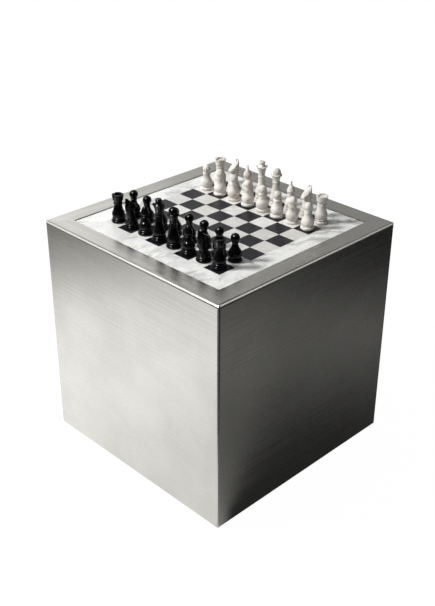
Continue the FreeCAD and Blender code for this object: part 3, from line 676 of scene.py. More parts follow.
@dataclass
class Surface:
    """Points in millimetres, and blocks of faces, counter-clockwise from outside."""

    points: np.ndarray
    faces: list[np.ndarray]

    def __add__(self, other: "Surface") -> "Surface":
        """Two surfaces as one."""
        moved = [block + len(self.points) for block in other.faces]
        return Surface(np.concatenate([self.points, other.points]), self.faces + moved)

    def placed(self, facing: float, spot: Sequence[float]) -> "Surface":
        """The surface facing along X by one or minus one, moved to a spot."""
        return Surface(self.points * (facing, facing, 1.0) + spot, self.faces)

    def piece(self, name: str) -> bpy.types.Object:
        """Make a mesh object.

        Args:
            name: The piece's name.

        Returns:
            The object, at the origin, smooth but for its sharp edges.
        """
        mesh = bpy.data.meshes.new(name)
        faces = sum((block.tolist() for block in self.faces), [])
        mesh.from_pydata((self.points * MM).tolist(), [], faces)
        mesh.validate()
        mesh.shade_smooth()
        mesh.set_sharp_from_angle(angle=SHARP_ANGLE)
        piece = bpy.data.objects.new(name, mesh)
        bpy.context.scene.collection.objects.link(piece)
        return piece


def closed(grid: np.ndarray, bottom: Sequence[float], top: Sequence[float]) -> Surface:
    """Close a grid of points with a pole before and after it.

    Args:
        grid: Rings of points, from the bottom up.
        bottom: The pole before the first ring.
        top: The pole after the last ring.

    Returns:
        The surface: a fan, quads between neighbouring rings, and a fan.
    """
    rows, columns = grid.shape[:2]
    last = 1 + rows * columns
    column = np.arange(columns)
    after = (column + 1) % columns
    row = 1 + np.arange(rows - 1)[:, None] * columns
    over = row + columns
    quads = np.stack([row + column, row + after, over + after, over + column], axis=-1)
    first = np.stack([np.zeros_like(column), 1 + after, 1 + column], axis=-1)
    ring = last - columns
    cap = np.stack([np.full(columns, last), ring + column, ring + after], axis=-1)
    points = np.concatenate([[bottom], grid.reshape(-1, 3), [top]])
    return Surface(points, [first, quads.reshape(-1, 4), cap])


@dataclass
class Outline:
    """A turned outline, in millimetres out from the axis and up from the underside.

    Each of its strokes goes on from where the one before it ended, and gives the outline back.
    """

    step: float = 0.7
    runs: list[np.ndarray] = field(default_factory=lambda: [np.zeros((1, 2))])

    @property
    def end(self) -> np.ndarray:
        """The point that the outline has reached."""
        return self.runs[-1][-1]

    def line(self, out: float, up: float) -> "Outline":
        """Go straight to a point.

        Args:
            out: Its distance from the axis.
            up: Its level.

        Returns:
            The outline itself.
        """
        way = np.array([out, up]) - self.end
        count = max(1, round(float(np.linalg.norm(way)) / (2 * self.step)))
        self.runs.append(self.end + np.linspace(0, 1, count + 1)[1:, None] * way)
        return self

    def arc(self, out: float, up: float, radius: float) -> "Outline":
        """Go along an arc to a point.

        The centre lies off the middle of the chord, at right angles to it, by the root of the
        radius squared less half the chord squared. The angle runs evenly between the ends.

        Args:
            out: The point's distance from the axis.
            up: Its level.
            radius: The arc's radius, positive where it turns left and negative where right.

        Returns:
            The outline itself.
        """
        start, target = self.end, np.array([out, up])
        chord = target - start
        length = float(np.hypot(*chord))
        reach = math.sqrt(max(radius**2 - (length / 2) ** 2, 0.0))
        left = np.array([-chord[1], chord[0]]) / length
        centre = (start + target) / 2 + left * math.copysign(reach, radius)
        first = math.atan2(*(start - centre)[::-1])
        turn = 2 * math.asin(min(1.0, length / 2 / abs(radius)))
        count = max(3, round(turn * abs(radius) / self.step))
        angle = first + math.copysign(turn, radius) * np.linspace(0, 1, count + 1)[1:]
        ring = np.column_stack([np.cos(angle), np.sin(angle)])
        self.runs.append(centre + abs(radius) * ring)
        return self

    def rim(self, radius: float, depth: float, low: float, high: float) -> "Outline":
        """Round the edge of a disc, bead or ring.

        The edge is the arc through both of its edges that stands out by the depth: its radius
        is half the height squared plus the depth squared, over twice the depth.

        Args:
            radius: Its widest radius.
            depth: How far it stands out from its edges.
            low: The level of its lower edge.
            high: The level of its upper edge.

        Returns:
            The outline itself.
        """
        half = (high - low) / 2
        curve = (half**2 + depth**2) / (2 * depth)
        return self.line(radius - depth, low).arc(radius - depth, high, curve)

    def belly(
        self, radius: float, level: float, start: float, neck: float, neck_level: float
    ) -> "Outline":
        """Round a belly that runs smoothly into the waist under a neck.

        The belly is part of a ball. The waist is the arc that leaves the neck upright and
        touches the ball where the line between the two centres meets it.

        Args:
            radius: The belly's widest radius.
            level: The level of its widest line.
            start: The level where it begins.
            neck: The neck's radius.
            neck_level: The neck's level.

        Returns:
            The outline itself.
        """
        rise = neck_level - level
        waist = (neck**2 + rise**2 - radius**2) / (2 * (radius - neck))
        share = radius / (radius + waist)
        self.line(math.sqrt(radius**2 - (level - start) ** 2), start)
        self.arc((neck + waist) * share, level + rise * share, radius)
        return self.arc(neck, neck_level, -waist)

    def drop(
        self, radius: float, level: float, start: float, tip: float, tip_level: float
    ) -> "Outline":
        """Round a ball that tapers straight to a tip.

        The taper touches the ball where the line from the tip is at right angles to the
        ball's radius.

        Args:
            radius: The ball's radius.
            level: The level of its centre.
            start: The level where it begins.
            tip: The tip's radius.
            tip_level: The tip's level.

        Returns:
            The outline itself.
        """
        rise = tip_level - level
        reach = tip**2 + rise**2
        tangent = math.sqrt(reach - radius**2)
        touch_out = radius * (radius * tip + tangent * rise) / reach
        touch_up = level + radius * (radius * rise - tangent * tip) / reach
        self.line(math.sqrt(radius**2 - (level - start) ** 2), start)
        return self.arc(touch_out, touch_up, radius).line(tip, tip_level)

    def flare(self, out: float, up: float) -> "Outline":
        """Leave a neck upright and open out along a hollow arc.

        The arc's centre is level with the neck, so its radius is the width squared plus the
        height squared, over twice the width.

        Args:
            out: The radius where it ends.
            up: The level where it ends.

        Returns:
            The outline itself.
        """
        wide, high = out - self.end[0], up - self.end[1]
        return self.arc(out, up, -(wide**2 + high**2) / (2 * wide))

    def points(self) -> np.ndarray:
        """All the outline's points, without its two ends on the axis."""
        return np.concatenate(self.runs)[1:-1]

    def turned(self, angles: np.ndarray, dip: np.ndarray | None = None) -> Surface:
        """Turn the finished outline about the axis.

        A point of the surface is the outline's distance times the cosine and sine of the
        angle, at the outline's level, or at the dip where that is lower.

        Args:
            angles: The angles of the columns.
            dip: The highest level that each row and column may have.

        Returns:
            The surface, with the outline's two ends as its poles.
        """
        out, up = np.split(self.points(), 2, axis=1)
        up = np.repeat(up, len(angles), axis=1)
        if dip is not None:
            up = np.minimum(up, dip)
        grid = np.stack([out * np.cos(angles), out * np.sin(angles), up], axis=-1)
        return closed(grid, (0.0, 0.0, 0.0), (0.0, 0.0, self.end[1]))


def even_angles(count: int) -> np.ndarray:
    """Angles evenly spaced round a full turn."""
    return np.linspace(0, 2 * math.pi, count, endpoint=False)


def off_middle(angles: np.ndarray, sector: float) -> np.ndarray:
    """How far each angle is from the middle of the sector that it lies in."""
    return np.abs((angles + sector / 2) % sector - sector / 2)


# ---- chessmen -----------------------------------------------------------------------------


@dataclass(frozen=True)
class Foot:
    """The foot that chessmen share: a disc, a groove, and on an officer a bead."""

    height: float = 5.5
    ridge: float = 1.2
    groove_height: float = 0.8
    groove_depth: float = 3.6
    bead_height: float = 3.2
    bead_ridge: float = 1.0
    bead_step: float = 1.6

    def outline(self, radius: float, bead: bool = True) -> Outline:
        """Start an outline with this foot.

        Args:
            radius: The foot's widest radius.
            bead: Whether an officer's bead follows the groove.

        Returns:
            The outline so far.
        """
        made = Outline().rim(radius, self.ridge, 0.0, self.height)
        made.line(radius - self.groove_depth, self.height + self.groove_height / 2)
        if bead:
            low = self.height + self.groove_height
            made.rim(radius - self.bead_step, self.bead_ridge, low, low + self.bead_height)
        return made

    def top(self, bead: bool) -> float:
        """The level where a belly begins, over the groove and over the bead if there is one."""
        return self.height + self.groove_height + (self.bead_height if bead else 0.0)


@dataclass(frozen=True)
class Man:
    """What all but the knight share: a foot, a belly, and a neck with a ring or more."""

    height: float
    foot_radius: float = 14.0
    belly_radius: float = 12.0
    belly_level: float = 17.0
    neck_radius: float = 6.2
    neck_level: float = 48.0
    ring_radius: float = 7.4
    ring_height: float = 2.2
    ring_gap: float = 0.4
    rings: int = 1
    bead: bool = True
    foot: Foot = Foot()
    columns: int = 56

    @property
    def ring_top(self) -> float:
        """The level of the top of the last ring."""
        return self.neck_level + self.rings * (self.ring_height + self.ring_gap) - self.ring_gap

    def stem(self) -> Outline:
        """Start an outline with the foot, the belly, the neck and its rings.

        Returns:
            The outline so far.
        """
        made = self.foot.outline(self.foot_radius, self.bead)
        start = self.foot.top(self.bead)
        made.belly(
            self.belly_radius, self.belly_level, start, self.neck_radius, self.neck_level
        )
        for number in range(self.rings):
            low = self.neck_level + number * (self.ring_height + self.ring_gap)
            made.rim(self.ring_radius, self.foot.bead_ridge, low, low + self.ring_height)
        return made


@dataclass(frozen=True)
class Pawn(Man):
    """A belly that narrows to a ringed neck, and a round head."""

    height: float = 51.7
    foot_radius: float = 13.1
    belly_radius: float = 12.2
    belly_level: float = 14.0
    neck_radius: float = 5.4
    neck_level: float = 33.9
    ring_radius: float = 6.3
    bead: bool = False
    head_radius: float = 8.3

    def form(self) -> Surface:
        """Turn the pawn.

        Returns:
            The closed surface.
        """
        made = self.stem().line(self.neck_radius, self.ring_top)
        chin = math.sqrt(self.head_radius**2 - self.neck_radius**2)
        made.line(self.neck_radius, self.height - self.head_radius - chin)
        made.arc(0.0, self.height, self.head_radius)
        return made.turned(even_angles(self.columns))


@dataclass(frozen=True)
class Rook(Man):
    """A flared neck that carries a notched drum with a bowl in it."""

    height: float = 54.5
    foot_radius: float = 13.5
    belly_radius: float = 12.2
    belly_level: float = 15.5
    neck_radius: float = 7.4
    neck_level: float = 36.5
    ring_radius: float = 8.7
    ring_height: float = 2.0
    drum_level: float = 43.5
    drum_radius: float = 11.0
    drum_taper: float = 1.2
    wall: float = 3.2
    bowl_depth: float = 3.0
    notches: int = 4
    notch_width: float = 3.4
    notch_depth: float = 2.2
    notch_step: float = 1 / 40
    between: int = 12
    edge: float = 0.5

    def form(self) -> Surface:
        """Turn the rook and cut its notches.

        A notch is where an angle is within half the notch's width from the middle of it: the
        drum's wall is held down there. A narrow step of angle makes its cheeks upright.

        Returns:
            The closed surface.
        """
        made = self.stem().line(self.neck_radius, self.ring_top)
        low = self.drum_radius - self.drum_taper
        inside, shelf = self.drum_radius - self.wall, self.height - self.notch_depth
        floor = self.height - self.bowl_depth
        made.flare(low - self.drum_taper, self.drum_level)
        made.line(low - self.edge, self.drum_level)
        made.arc(low, self.drum_level + self.edge, self.edge)
        made.line(self.drum_radius, shelf).line(self.drum_radius, self.height - self.edge)
        made.arc(self.drum_radius - self.edge, self.height, self.edge)
        made.line(inside, self.height).line(inside, shelf).line(inside, floor).line(0.0, floor)
        sector = 2 * math.pi / self.notches
        half = math.asin(self.notch_width / 2 / self.drum_radius)
        step = half * self.notch_step
        cuts = [-half - step, -half, half, half + step]
        part = np.concatenate([cuts, np.linspace(half, sector - half, self.between + 1)[1:-1]])
        angles = np.sort(np.concatenate([part + k * sector for k in range(self.notches)]))
        cut = off_middle(angles, sector) < half + step / 2
        wall = made.points()[:, :1] > inside - self.edge
        return made.turned(angles, np.where(wall & cut, shelf, self.height))


@dataclass(frozen=True)
class Bishop(Man):
    """A collar, and a round-shouldered mitre with a small ball on a stalk."""

    height: float = 61.0
    belly_radius: float = 11.6
    belly_level: float = 16.0
    neck_radius: float = 4.9
    neck_level: float = 33.0
    ring_radius: float = 7.2
    mitre_radius: float = 8.0
    mitre_level: float = 41.0
    shoulder_radius: float = 4.6
    shoulder_level: float = 50.6
    stalk_level: float = 54.6
    stalk_radius: float = 1.5
    tip_radius: float = 2.0
    tip_step: float = 0.35

    def form(self) -> Surface:
        """Turn the bishop.

        Returns:
            The closed surface.
        """
        made = self.stem()
        made.drop(
            self.mitre_radius,
            self.mitre_level,
            self.ring_top,
            self.shoulder_radius,
            self.shoulder_level,
        )
        chin = math.sqrt(self.tip_radius**2 - self.stalk_radius**2)
        made.line(self.stalk_radius, self.stalk_level)
        made.line(self.stalk_radius, self.height - self.tip_radius - chin)
        made.step = self.tip_step
        return made.arc(0.0, self.height, self.tip_radius).turned(even_angles(self.columns))


@dataclass(frozen=True)
class Queen(Man):
    """A flared crown with a scalloped rim, and a button on a cap."""

    height: float = 80.0
    crown_radius: float = 11.0
    crown_level: float = 70.0
    crown_wall: float = 2.4
    cap_drop: float = 1.2
    cap_neck: float = 4.8
    cap_curve: float = 30.0
    button_radius: float = 6.2
    button_height: float = 6.0
    button_ridge: float = 1.6
    scallops: int = 8
    scallop_radius: float = 1.9
    scallop_reach: float = 1.2
    columns: int = 96

    def form(self) -> Surface:
        """Turn the queen and scallop her crown.

        A scallop's depth is the root of its radius squared less the distance from its middle
        squared, measured round the rim.

        Returns:
            The closed surface.
        """
        made = self.stem().line(self.neck_radius, self.ring_top)
        button = self.height - self.button_height
        made.flare(self.crown_radius, self.crown_level)
        made.line(self.crown_radius - self.crown_wall, self.crown_level - self.cap_drop)
        inner = len(made.points()) + 1
        made.arc(self.cap_neck, button, -self.cap_curve)
        made.rim(self.button_radius, self.button_ridge, button, self.height)
        made.line(0.0, self.height)
        angles = even_angles(self.columns)
        off = off_middle(angles, 2 * math.pi / self.scallops) * self.crown_radius
        depth = np.sqrt(np.maximum(self.scallop_radius**2 - off**2, 0.0))
        up = made.points()[:, 1:]
        rim = up > self.crown_level - self.scallop_radius * self.scallop_reach
        rim[inner:] = False
        return made.turned(angles, np.where(rim, self.crown_level - depth, self.height))


@dataclass(frozen=True)
class King(Man):
    """A neck that flares to a collar, and a dome."""

    height: float = 76.0
    neck_radius: float = 6.4
    neck_level: float = 47.0
    ring_radius: float = 7.6
    collar_radius: float = 11.0
    collar_level: float = 60.8
    dome_radius: float = 8.5

    def form(self) -> Surface:
        """Turn the king.

        Returns:
            The closed surface.
        """
        made = self.stem().line(self.neck_radius, self.ring_top)
        ridge, top = self.foot.bead_ridge, self.collar_level + self.foot.bead_height
        made.flare(self.collar_radius - 2 * ridge, self.collar_level)
        made.rim(self.collar_radius, ridge, self.collar_level, top)
        centre = self.height - self.dome_radius
        made.line(math.sqrt(self.dome_radius**2 - (centre - top) ** 2), top)
        return made.arc(0.0, self.height, self.dome_radius).turned(even_angles(self.columns))


def bell(off: np.ndarray, width: float) -> np.ndarray:
    """One at no distance, falling off as the exponential of minus its share squared."""
    return np.exp(-((off / width) ** 2))


def before(past: np.ndarray, width: float) -> np.ndarray:
    """One well before a place and nothing well past it: one over one and an exponential."""
    return 1 / (1 + np.exp(past / width))


@dataclass(frozen=True)
class Knight:
    """A horse's head on a turned plinth. It looks along -X.

    A place on the head is its shares of the reach and of the height. A mark, such as a hollow or
    a groove, is its depth and its width, and the end of one is a share and its softness.
    """

    height: float = 62.0
    foot_radius: float = 14.0
    foot: Foot = Foot()
    plinth_radius: float = 10.6
    plinth_level: float = 17.0
    plinth_edge: float = 1.0
    reach: float = 14.3
    thick: float = 14.0
    thinnest: float = 0.6
    mane_thick: float = 6.2
    ear_gap: float = 3.2
    ear_depth: float = 6.0
    ear_slope: tuple[float, float] = (3.0, -0.9)
    squareness: float = 2.7
    ribs: int = 90
    columns: int = 56

    eye: tuple[float, float] = (-0.10, 0.755)
    eye_ball: tuple[float, float] = (0.8, 1.7)
    eye_hollow: tuple[float, float] = (1.1, 0.8)
    nostril: tuple[float, float] = (-0.72, 0.690)
    nostril_hollow: tuple[float, float] = (0.9, 0.9)
    mouth: tuple[float, float] = (-0.72, 0.646)
    mouth_groove: tuple[float, float] = (0.9, 0.55)
    mouth_slope: float = 0.06
    mouth_end: tuple[float, float] = (-0.56, 0.5)
    jaw: tuple[float, float] = (-0.02, 0.675)
    jaw_radius: float = 6.6
    jaw_groove: tuple[float, float] = (0.9, 0.9)
    jaw_start: tuple[float, float] = (-0.22, 0.8)
    jaw_top: float = 0.74
    locks: tuple[float, float] = (0.8, 4.6)
    lock_spacing: float = 3.6
    lock_slant: float = 0.9
    lock_top: float = 0.92
    crest_stations: int = 6
    fade: float = 1.0

    # Each point has its share of the way from the plinth to the lips, then its shares of the
    # reach and of the height: up the mane, over the ears and down the nose, and up the chest.
    mane: tuple[Triple, ...] = (
        (0.00, 0.45, 0.26),
        (0.14, 0.66, 0.40),
        (0.30, 0.90, 0.57),
        (0.42, 1.00, 0.72),
        (0.52, 0.95, 0.87),
        (0.58, 0.81, 0.985),
        (0.62, 0.66, 0.975),
        (0.67, 0.40, 0.895),
        (0.79, -0.09, 0.812),
        (0.90, -0.62, 0.735),
        (0.96, -0.815, 0.705),
        (1.00, -0.858, 0.675),
    )
    chest: tuple[Triple, ...] = (
        (0.00, -0.56, 0.26),
        (0.20, -0.50, 0.36),
        (0.42, -0.39, 0.46),
        (0.62, -0.27, 0.55),
        (0.72, -0.33, 0.572),
        (0.86, -0.58, 0.588),
        (0.95, -0.75, 0.603),
        (1.00, -0.84, 0.640),
    )
    smoothing: tuple[int, ...] = (1, 2, 3, 2, 1)

    def edge(self, stations: tuple[Triple, ...]) -> np.ndarray:
        """One edge of the head's side view, rib by rib.

        The ribs lie evenly along the way, straight between the stations. Each is then the
        weighted mean of itself and its neighbours.

        Args:
            stations: Shares of the way, the reach and the height.

        Returns:
            A point for each rib, in millimetres.
        """
        way, *shares = np.array(stations).T
        ribs = np.linspace(0, 1, self.ribs)
        weights = np.array(self.smoothing) / sum(self.smoothing)
        lines = [
            np.interp(ribs, way, share) * size
            for share, size in zip(shares, (self.reach, self.height))
        ]
        padded = [np.pad(line, len(weights) // 2, mode="edge") for line in lines]
        return np.column_stack([np.convolve(line, weights, "valid") for line in padded])

    def half_thickness(self, out: np.ndarray) -> np.ndarray:
        """Half the head's thickness: a circle's arc, full in the middle and thin at both ends.

        With d the loss of thickness at the ends, the circle's radius is the reach squared plus
        d squared, over twice d.

        Args:
            out: Distances along X.

        Returns:
            Half the thickness there.
        """
        full = self.thick / 2
        loss = full - self.mane_thick / 2
        radius = (self.reach**2 + loss**2) / (2 * loss)
        return full - radius + np.sqrt(radius**2 - np.clip(out, -self.reach, self.reach) ** 2)

    def carve(self, out: np.ndarray, up: np.ndarray) -> np.ndarray:
        """How much the cheeks are cut in or raised: eye, nostril, mouth, jaw and mane.

        The eye is a small bell with a smaller hollow in it, the nostril a hollow, the mouth and
        the jaw grooves along a line and a circle, and the mane slanted waves that fade away
        from the crest.

        Args:
            out: Distances along X.
            up: Levels.

        Returns:
            The change of half thickness, in millimetres.
        """
        reach, height = self.reach, self.height

        def off(place: tuple[float, float]) -> tuple[np.ndarray, np.ndarray]:
            """How far along and above a place the points are."""
            return out - place[0] * reach, up - place[1] * height

        def mark(size: tuple[float, float], away: np.ndarray) -> np.ndarray:
            """A mark's depth at a distance from its middle."""
            return size[0] * bell(away, size[1])

        eye = mark(self.eye_ball, np.hypot(*off(self.eye)))
        eye -= mark(self.eye_hollow, np.hypot(*off(self.eye)))
        nostril = mark(self.nostril_hollow, np.hypot(*off(self.nostril)))
        along, above = off(self.mouth)
        mouth = mark(self.mouth_groove, above - self.mouth_slope * along)
        mouth *= before(out - self.mouth_end[0] * reach, self.mouth_end[1])
        jaw = mark(self.jaw_groove, np.hypot(*off(self.jaw)) - self.jaw_radius)
        jaw *= before(self.jaw_start[0] * reach - out, self.jaw_start[1])
        jaw *= before(up - self.jaw_top * height, self.fade)
        _, crest_out, crest_up = np.array(self.mane[: self.crest_stations]).T
        inward = np.maximum(np.interp(up / height, crest_up, crest_out) * reach - out, 0.0)
        turns = (up + self.lock_slant * inward) / self.lock_spacing
        mane = mark(self.locks, inward) * (0.5 + 0.5 * np.sin(2 * math.pi * turns))
        mane *= before(up - self.lock_top * height, self.fade)
        return eye - nostril - mouth - jaw - mane

    def head(self) -> Surface:
        """Carry a rounded section along the head, from the plinth to the lips.

        A section spans the two edges of the side view. A point of it is its middle plus half
        its span times the cosine of an angle, and half the thickness times its sine, both to
        the power of two over the squareness. The cleft lowers what is near the middle plane
        at the ears.

        Returns:
            The closed surface.
        """
        back, front = self.edge(self.mane), self.edge(self.chest)
        angle = even_angles(self.columns)
        cosine, sine = (
            np.sign(wave) * np.abs(wave) ** (2 / self.squareness)
            for wave in (np.cos(angle), np.sin(angle))
        )
        middle, half = (back + front) / 2, (back - front) / 2
        out = middle[:, :1] + half[:, :1] * cosine
        up = middle[:, 1:] + half[:, 1:] * cosine
        thick = np.maximum(self.half_thickness(out) + self.carve(out, up), self.thinnest)
        across = thick * sine
        near = np.maximum(1 - np.abs(across) / (self.ear_gap / 2), 0.0)
        steep, start = self.ear_slope
        ears = np.clip((up - (self.height - self.ear_depth)) / self.ear_depth, 0, 1)
        ears *= np.clip(out / self.reach * steep + start, 0, 1)
        up = up - near * ears * self.ear_depth
        grid = np.stack([out, -across, up], axis=-1)
        return closed(grid, grid[0].mean(axis=0), grid[-1].mean(axis=0))

    def form(self) -> Surface:
        """Join the head and the turned plinth.

        Returns:
            The closed surface.
        """
        made = self.foot.outline(self.foot_radius)
        made.line(self.plinth_radius, self.plinth_level - self.plinth_edge)
        made.arc(self.plinth_radius - self.plinth_edge, self.plinth_level, self.plinth_edge)
        made.line(0.0, self.plinth_level)
        return made.turned(even_angles(self.columns)) + self.head()


@dataclass
class ChessSet:
    """The thirty-two chessmen in their starting places."""

    officers: tuple[Man | Knight, ...] = (Rook(), Knight(), Bishop(), Queen(), King())
    black_pawn: Pawn = Pawn()
    white_pawn: Pawn = Pawn(
        neck_radius=6.6, neck_level=31.0, ring_radius=7.8, rings=2, head_radius=8.1
    )

    def forms(self, shade: Shade) -> dict[str, Surface]:
        """The form of each kind of man of one colour."""
        pawn = self.black_pawn if shade is Shade.BLACK else self.white_pawn
        return {type(man).__name__.lower(): man.form() for man in (*self.officers, pawn)}

    def places(self, shade: Shade) -> list[tuple[str, str, int, int]]:
        """Name and place every man of one colour.

        Args:
            shade: The colour.

        Returns:
            Name, kind, column and row of each.
        """
        back, front = (0, 1) if shade is Shade.BLACK else (SQUARES - 1, SQUARES - 2)
        men = []
        for row, kind in enumerate(BACK_RANK):
            number = "" if kind in ("king", "queen") else f"_{1 + 2 * row // SQUARES}"
            men.append((f"{shade.value}_{kind}{number}", kind, back, row))
        men += [(f"{shade.value}_pawn_{row + 1}", "pawn", front, row) for row in range(SQUARES)]
        return men

    def build(self) -> list[bpy.types.Object]:
        """Make every chessman, and let each ride on its own body and replace its node.

        Returns:
            The pieces.
        """
        pieces = []
        middle = (SQUARES - 1) / 2
        for shade in Shade:
            facing = -1.0 if shade is Shade.BLACK else 1.0
            forms = self.forms(shade)
            for name, kind, column, row in self.places(shade):
                spot = ((column - middle) * TILE, (row - middle) * TILE, BOARD_LEVEL)
                piece = forms[kind].placed(facing, spot).piece(f"{name}_turned")
                piece.data.materials.append(finish(f"{shade.value}_onyx"))
                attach(piece, name)
                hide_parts(name)
                pieces.append(piece)
        return pieces


# ---- table --------------------------------------------------------------------------------


@dataclass
class Table:
    """The steel cube, its carcass and the inlaid board: the CAD nodes and their finishes."""

    wood: tuple[str, ...] = ("base_board", "deck_board", "rim_strips", "corner_battens")

    def finishes(self) -> dict[str, str]:
        """The material of every CAD node that stays.

        Returns:
            The finish's name for each node's name.
        """
        made = {f"panel_{side}": f"steel_{side}" for side in SIDES}
        made |= {f"border_{side}": f"marble_{side}" for side in SIDES}
        made |= {f"carcass_{side}": "carcass_board" for side in SIDES}
        made |= {name: "carcass_board" for name in self.wood}
        made |= {"flange_screws": "screw_steel", "glides": "glide_nylon"}
        made |= {"board_pads": "pad_rubber", "board_slab": "backing_stone"}
        return made | {"light_tiles": "light_stone", "dark_tiles": "dark_stone"}

    def dress(self) -> list[bpy.types.Object]:
        """Give each node its material.

        Returns:
            The nodes.
        """
        dressed = []
        for name, material in self.finishes().items():
            node = frame["nodes"][name]
            node.data.materials.clear()
            node.data.materials.append(finish(material))
            dressed.append(node)
        return dressed


# ---- studio -------------------------------------------------------------------------------


@dataclass(frozen=True)
class Lamp:
    """A square soft lamp that points at a level on the table's axis."""

    name: str
    place: Triple
    aim_level: float
    size: float
    power: float
    glossy: bool = True
    diffuse: bool = True

    def build(self) -> bpy.types.Object:
        """Hang the lamp.

        Returns:
            The lamp.
        """
        data = bpy.data.lights.new(self.name, "AREA")
        data.shape, data.size, data.energy = "SQUARE", self.size, self.power
        lamp = bpy.data.objects.new(self.name, data)
        lamp.location = self.place
        aim = Vector((0.0, 0.0, self.aim_level)) - Vector(self.place)
        lamp.rotation_euler = aim.to_track_quat("-Z", "Y").to_euler()
        lamp.visible_glossy, lamp.visible_diffuse = self.glossy, self.diffuse
        bpy.context.scene.collection.objects.link(lamp)
        return lamp


@dataclass(frozen=True)
class Studio:
    """A pale floor, soft lamps, and a room that is bright to the left and dark to the right.

    A ramp is where a change starts and ends along a way, then its results there.
    """

    floor_size: float = 14.0
    floor_paint: Triple = (0.72, 0.72, 0.71)
    floor_glow: float = 1.05
    glow_share: float = 0.94
    lamps: tuple[Lamp, ...] = (
        Lamp("key_left", (-1.65, 1.30, 2.25), 0.4, 0.55, 84.0, glossy=False),
        Lamp("top_soft", (-0.3, 0.1, 2.6), 0.4, 1.2, 6.0),
        Lamp("glint_left", (-1.62, 0.35, 2.60), 0.45, 0.95, 150.0, diffuse=False),
    )

    along_x: Triple = (1.0, 0.0, 0.0)
    along_y: Triple = (0.0, 1.0, 0.0)
    up: Triple = (0.0, 0.0, 1.0)
    left: Triple = (-0.711, 0.703, 0.0)
    ahead: Triple = (0.704, 0.710, 0.0)
    left_behind: Triple = (-0.63, 0.777, 0.0)
    right_ahead: Triple = (0.62, -0.785, 0.0)

    # The floor as polished steel shows it: the lit side, the weak side and the spill between.
    lit_side: Ramp = (-0.06, 0.08, 0.0, 1.0)
    lit_rise: Ramp = (-0.10, 0.27, 0.95, 1.21)
    lit_fade: Ramp = (0.78, 1.16, 1.0, 0.28)
    lit_end: Ramp = (1.15, 1.35, 1.0, 0.50)
    weak_fade: Ramp = (0.70, 1.12, 0.135, 0.018)
    foot_shade: Ramp = (-0.68, -0.25, 1.0, 0.18)
    foot_lift: Ramp = (0.10, 0.50, 0.0, 0.30)
    spill_fade: Ramp = (-0.26, -0.60, 1.0, 0.0)
    spill_power: float = 3.0
    spill_light: tuple[float, float] = (0.20, 0.05)
    spill_width: tuple[float, float] = (-0.25, 0.29)
    spill_start: float = 0.46
    front_shade: Ramp = (-0.62, -0.44, 0.12, 1.0)

    # The room as polished steel shows it: its walls, its ceiling and the step between.
    wall_sides: Ramp = (-0.05, 0.20, 0.35, 1.50)
    wall_ahead: Ramp = (-0.4, 0.6, 0.03, 1.0)
    wall_rise: Ramp = (0.10, 0.40, 0.15, 1.0)
    ceiling_sides: Ramp = (-0.3, 0.3, 1.2, 1.7)
    ceiling_near: Ramp = (0.04, 0.14, 0.05, 1.0)
    ceiling_far: tuple[float, float] = (0.36, 0.48)
    ceiling_end: float = 0.03
    ceiling_rise: Ramp = (0.80, 0.88, 1.0, 0.12)
    ceiling_step: Ramp = (0.55, 0.62, 0.0, 1.0)
    fill_sides: Ramp = (-0.7, 0.8, 0.02, 0.42)

    def floor_shine(self, nodes: Nodes) -> Socket:
        """How bright the floor looks in polished steel.

        The table's own shadow parts it. The left is bright, though dimmer far behind and dark in
        front. The right is weakly lit, fades far off, and is darkest at the foot of the table.

        Args:
            nodes: The floor's node builder.

        Returns:
            The brightness.
        """
        place = nodes.add("TexCoord").outputs["Object"]
        x, y, behind, right, ahead = (
            nodes.vector("DOT_PRODUCT", place, way)
            for way in (self.along_x, self.along_y, self.left_behind, self.right_ahead, self.ahead)
        )
        turn = nodes.vector("DOT_PRODUCT", nodes.vector("NORMALIZE", place), self.left)
        side = nodes.remap(turn, *self.lit_side)
        rise, fade = nodes.remap(y, *self.lit_rise), nodes.remap(behind, *self.lit_fade)
        lit = nodes.product(side, rise, fade, nodes.remap(behind, *self.lit_end))
        foot = nodes.total(nodes.remap(y, *self.foot_shade), nodes.remap(x, *self.foot_lift))
        foot = nodes.math("MINIMUM", foot, 1.0)
        weak = nodes.product(nodes.remap(right, *self.weak_fade), foot)
        near = nodes.remap(y, *self.spill_fade, kind="LINEAR")
        peak, base = self.spill_light
        narrowing, width = self.spill_width
        spill = nodes.math("POWER", near, self.spill_power)
        spill = nodes.total(nodes.product(spill, peak), base)
        width = nodes.total(nodes.product(near, narrowing), width)
        across = nodes.total(x, y, self.spill_start)
        spill = nodes.remap(across, 0.0, width, spill, 0.0)
        spill = nodes.product(spill, nodes.math("SUBTRACT", 1.0, side))
        return nodes.product(
            nodes.total(lit, weak, spill), nodes.remap(ahead, *self.front_shade)
        )

    def floor(self) -> bpy.types.Object:
        """Lay the floor: white to the camera but for the table's soft shadow.

        A camera below the floor looks through it.

        Returns:
            The floor.
        """
        corners = np.array([(-1, -1, 0), (1, -1, 0), (1, 1, 0), (-1, 1, 0)])
        points = corners * self.floor_size / 2 / MM
        floor = Surface(points, [np.array([(0, 1, 2, 3)])]).piece("studio_floor")
        material, nodes = new_material("studio_floor")
        rays = nodes.add("LightPath").outputs
        paint = nodes.add("BsdfDiffuse", {"Color": tone(self.floor_paint)}).outputs[0]
        glow = nodes.white("Emission", self.floor_glow)
        shine = nodes.white("Emission", self.floor_shine(nodes))
        made = nodes.blend(rays["Is Camera Ray"], paint, nodes.blend(self.glow_share, paint, glow))
        made = nodes.blend(rays["Is Glossy Ray"], made, shine)
        under = nodes.add("NewGeometry").outputs["Backfacing"]
        clear = nodes.add("BsdfTransparent").outputs[0]
        made = nodes.blend(nodes.product(under, rays["Is Camera Ray"]), made, clear)
        nodes.add("OutputMaterial", {"Surface": made})
        floor.data.materials.append(material)
        return floor

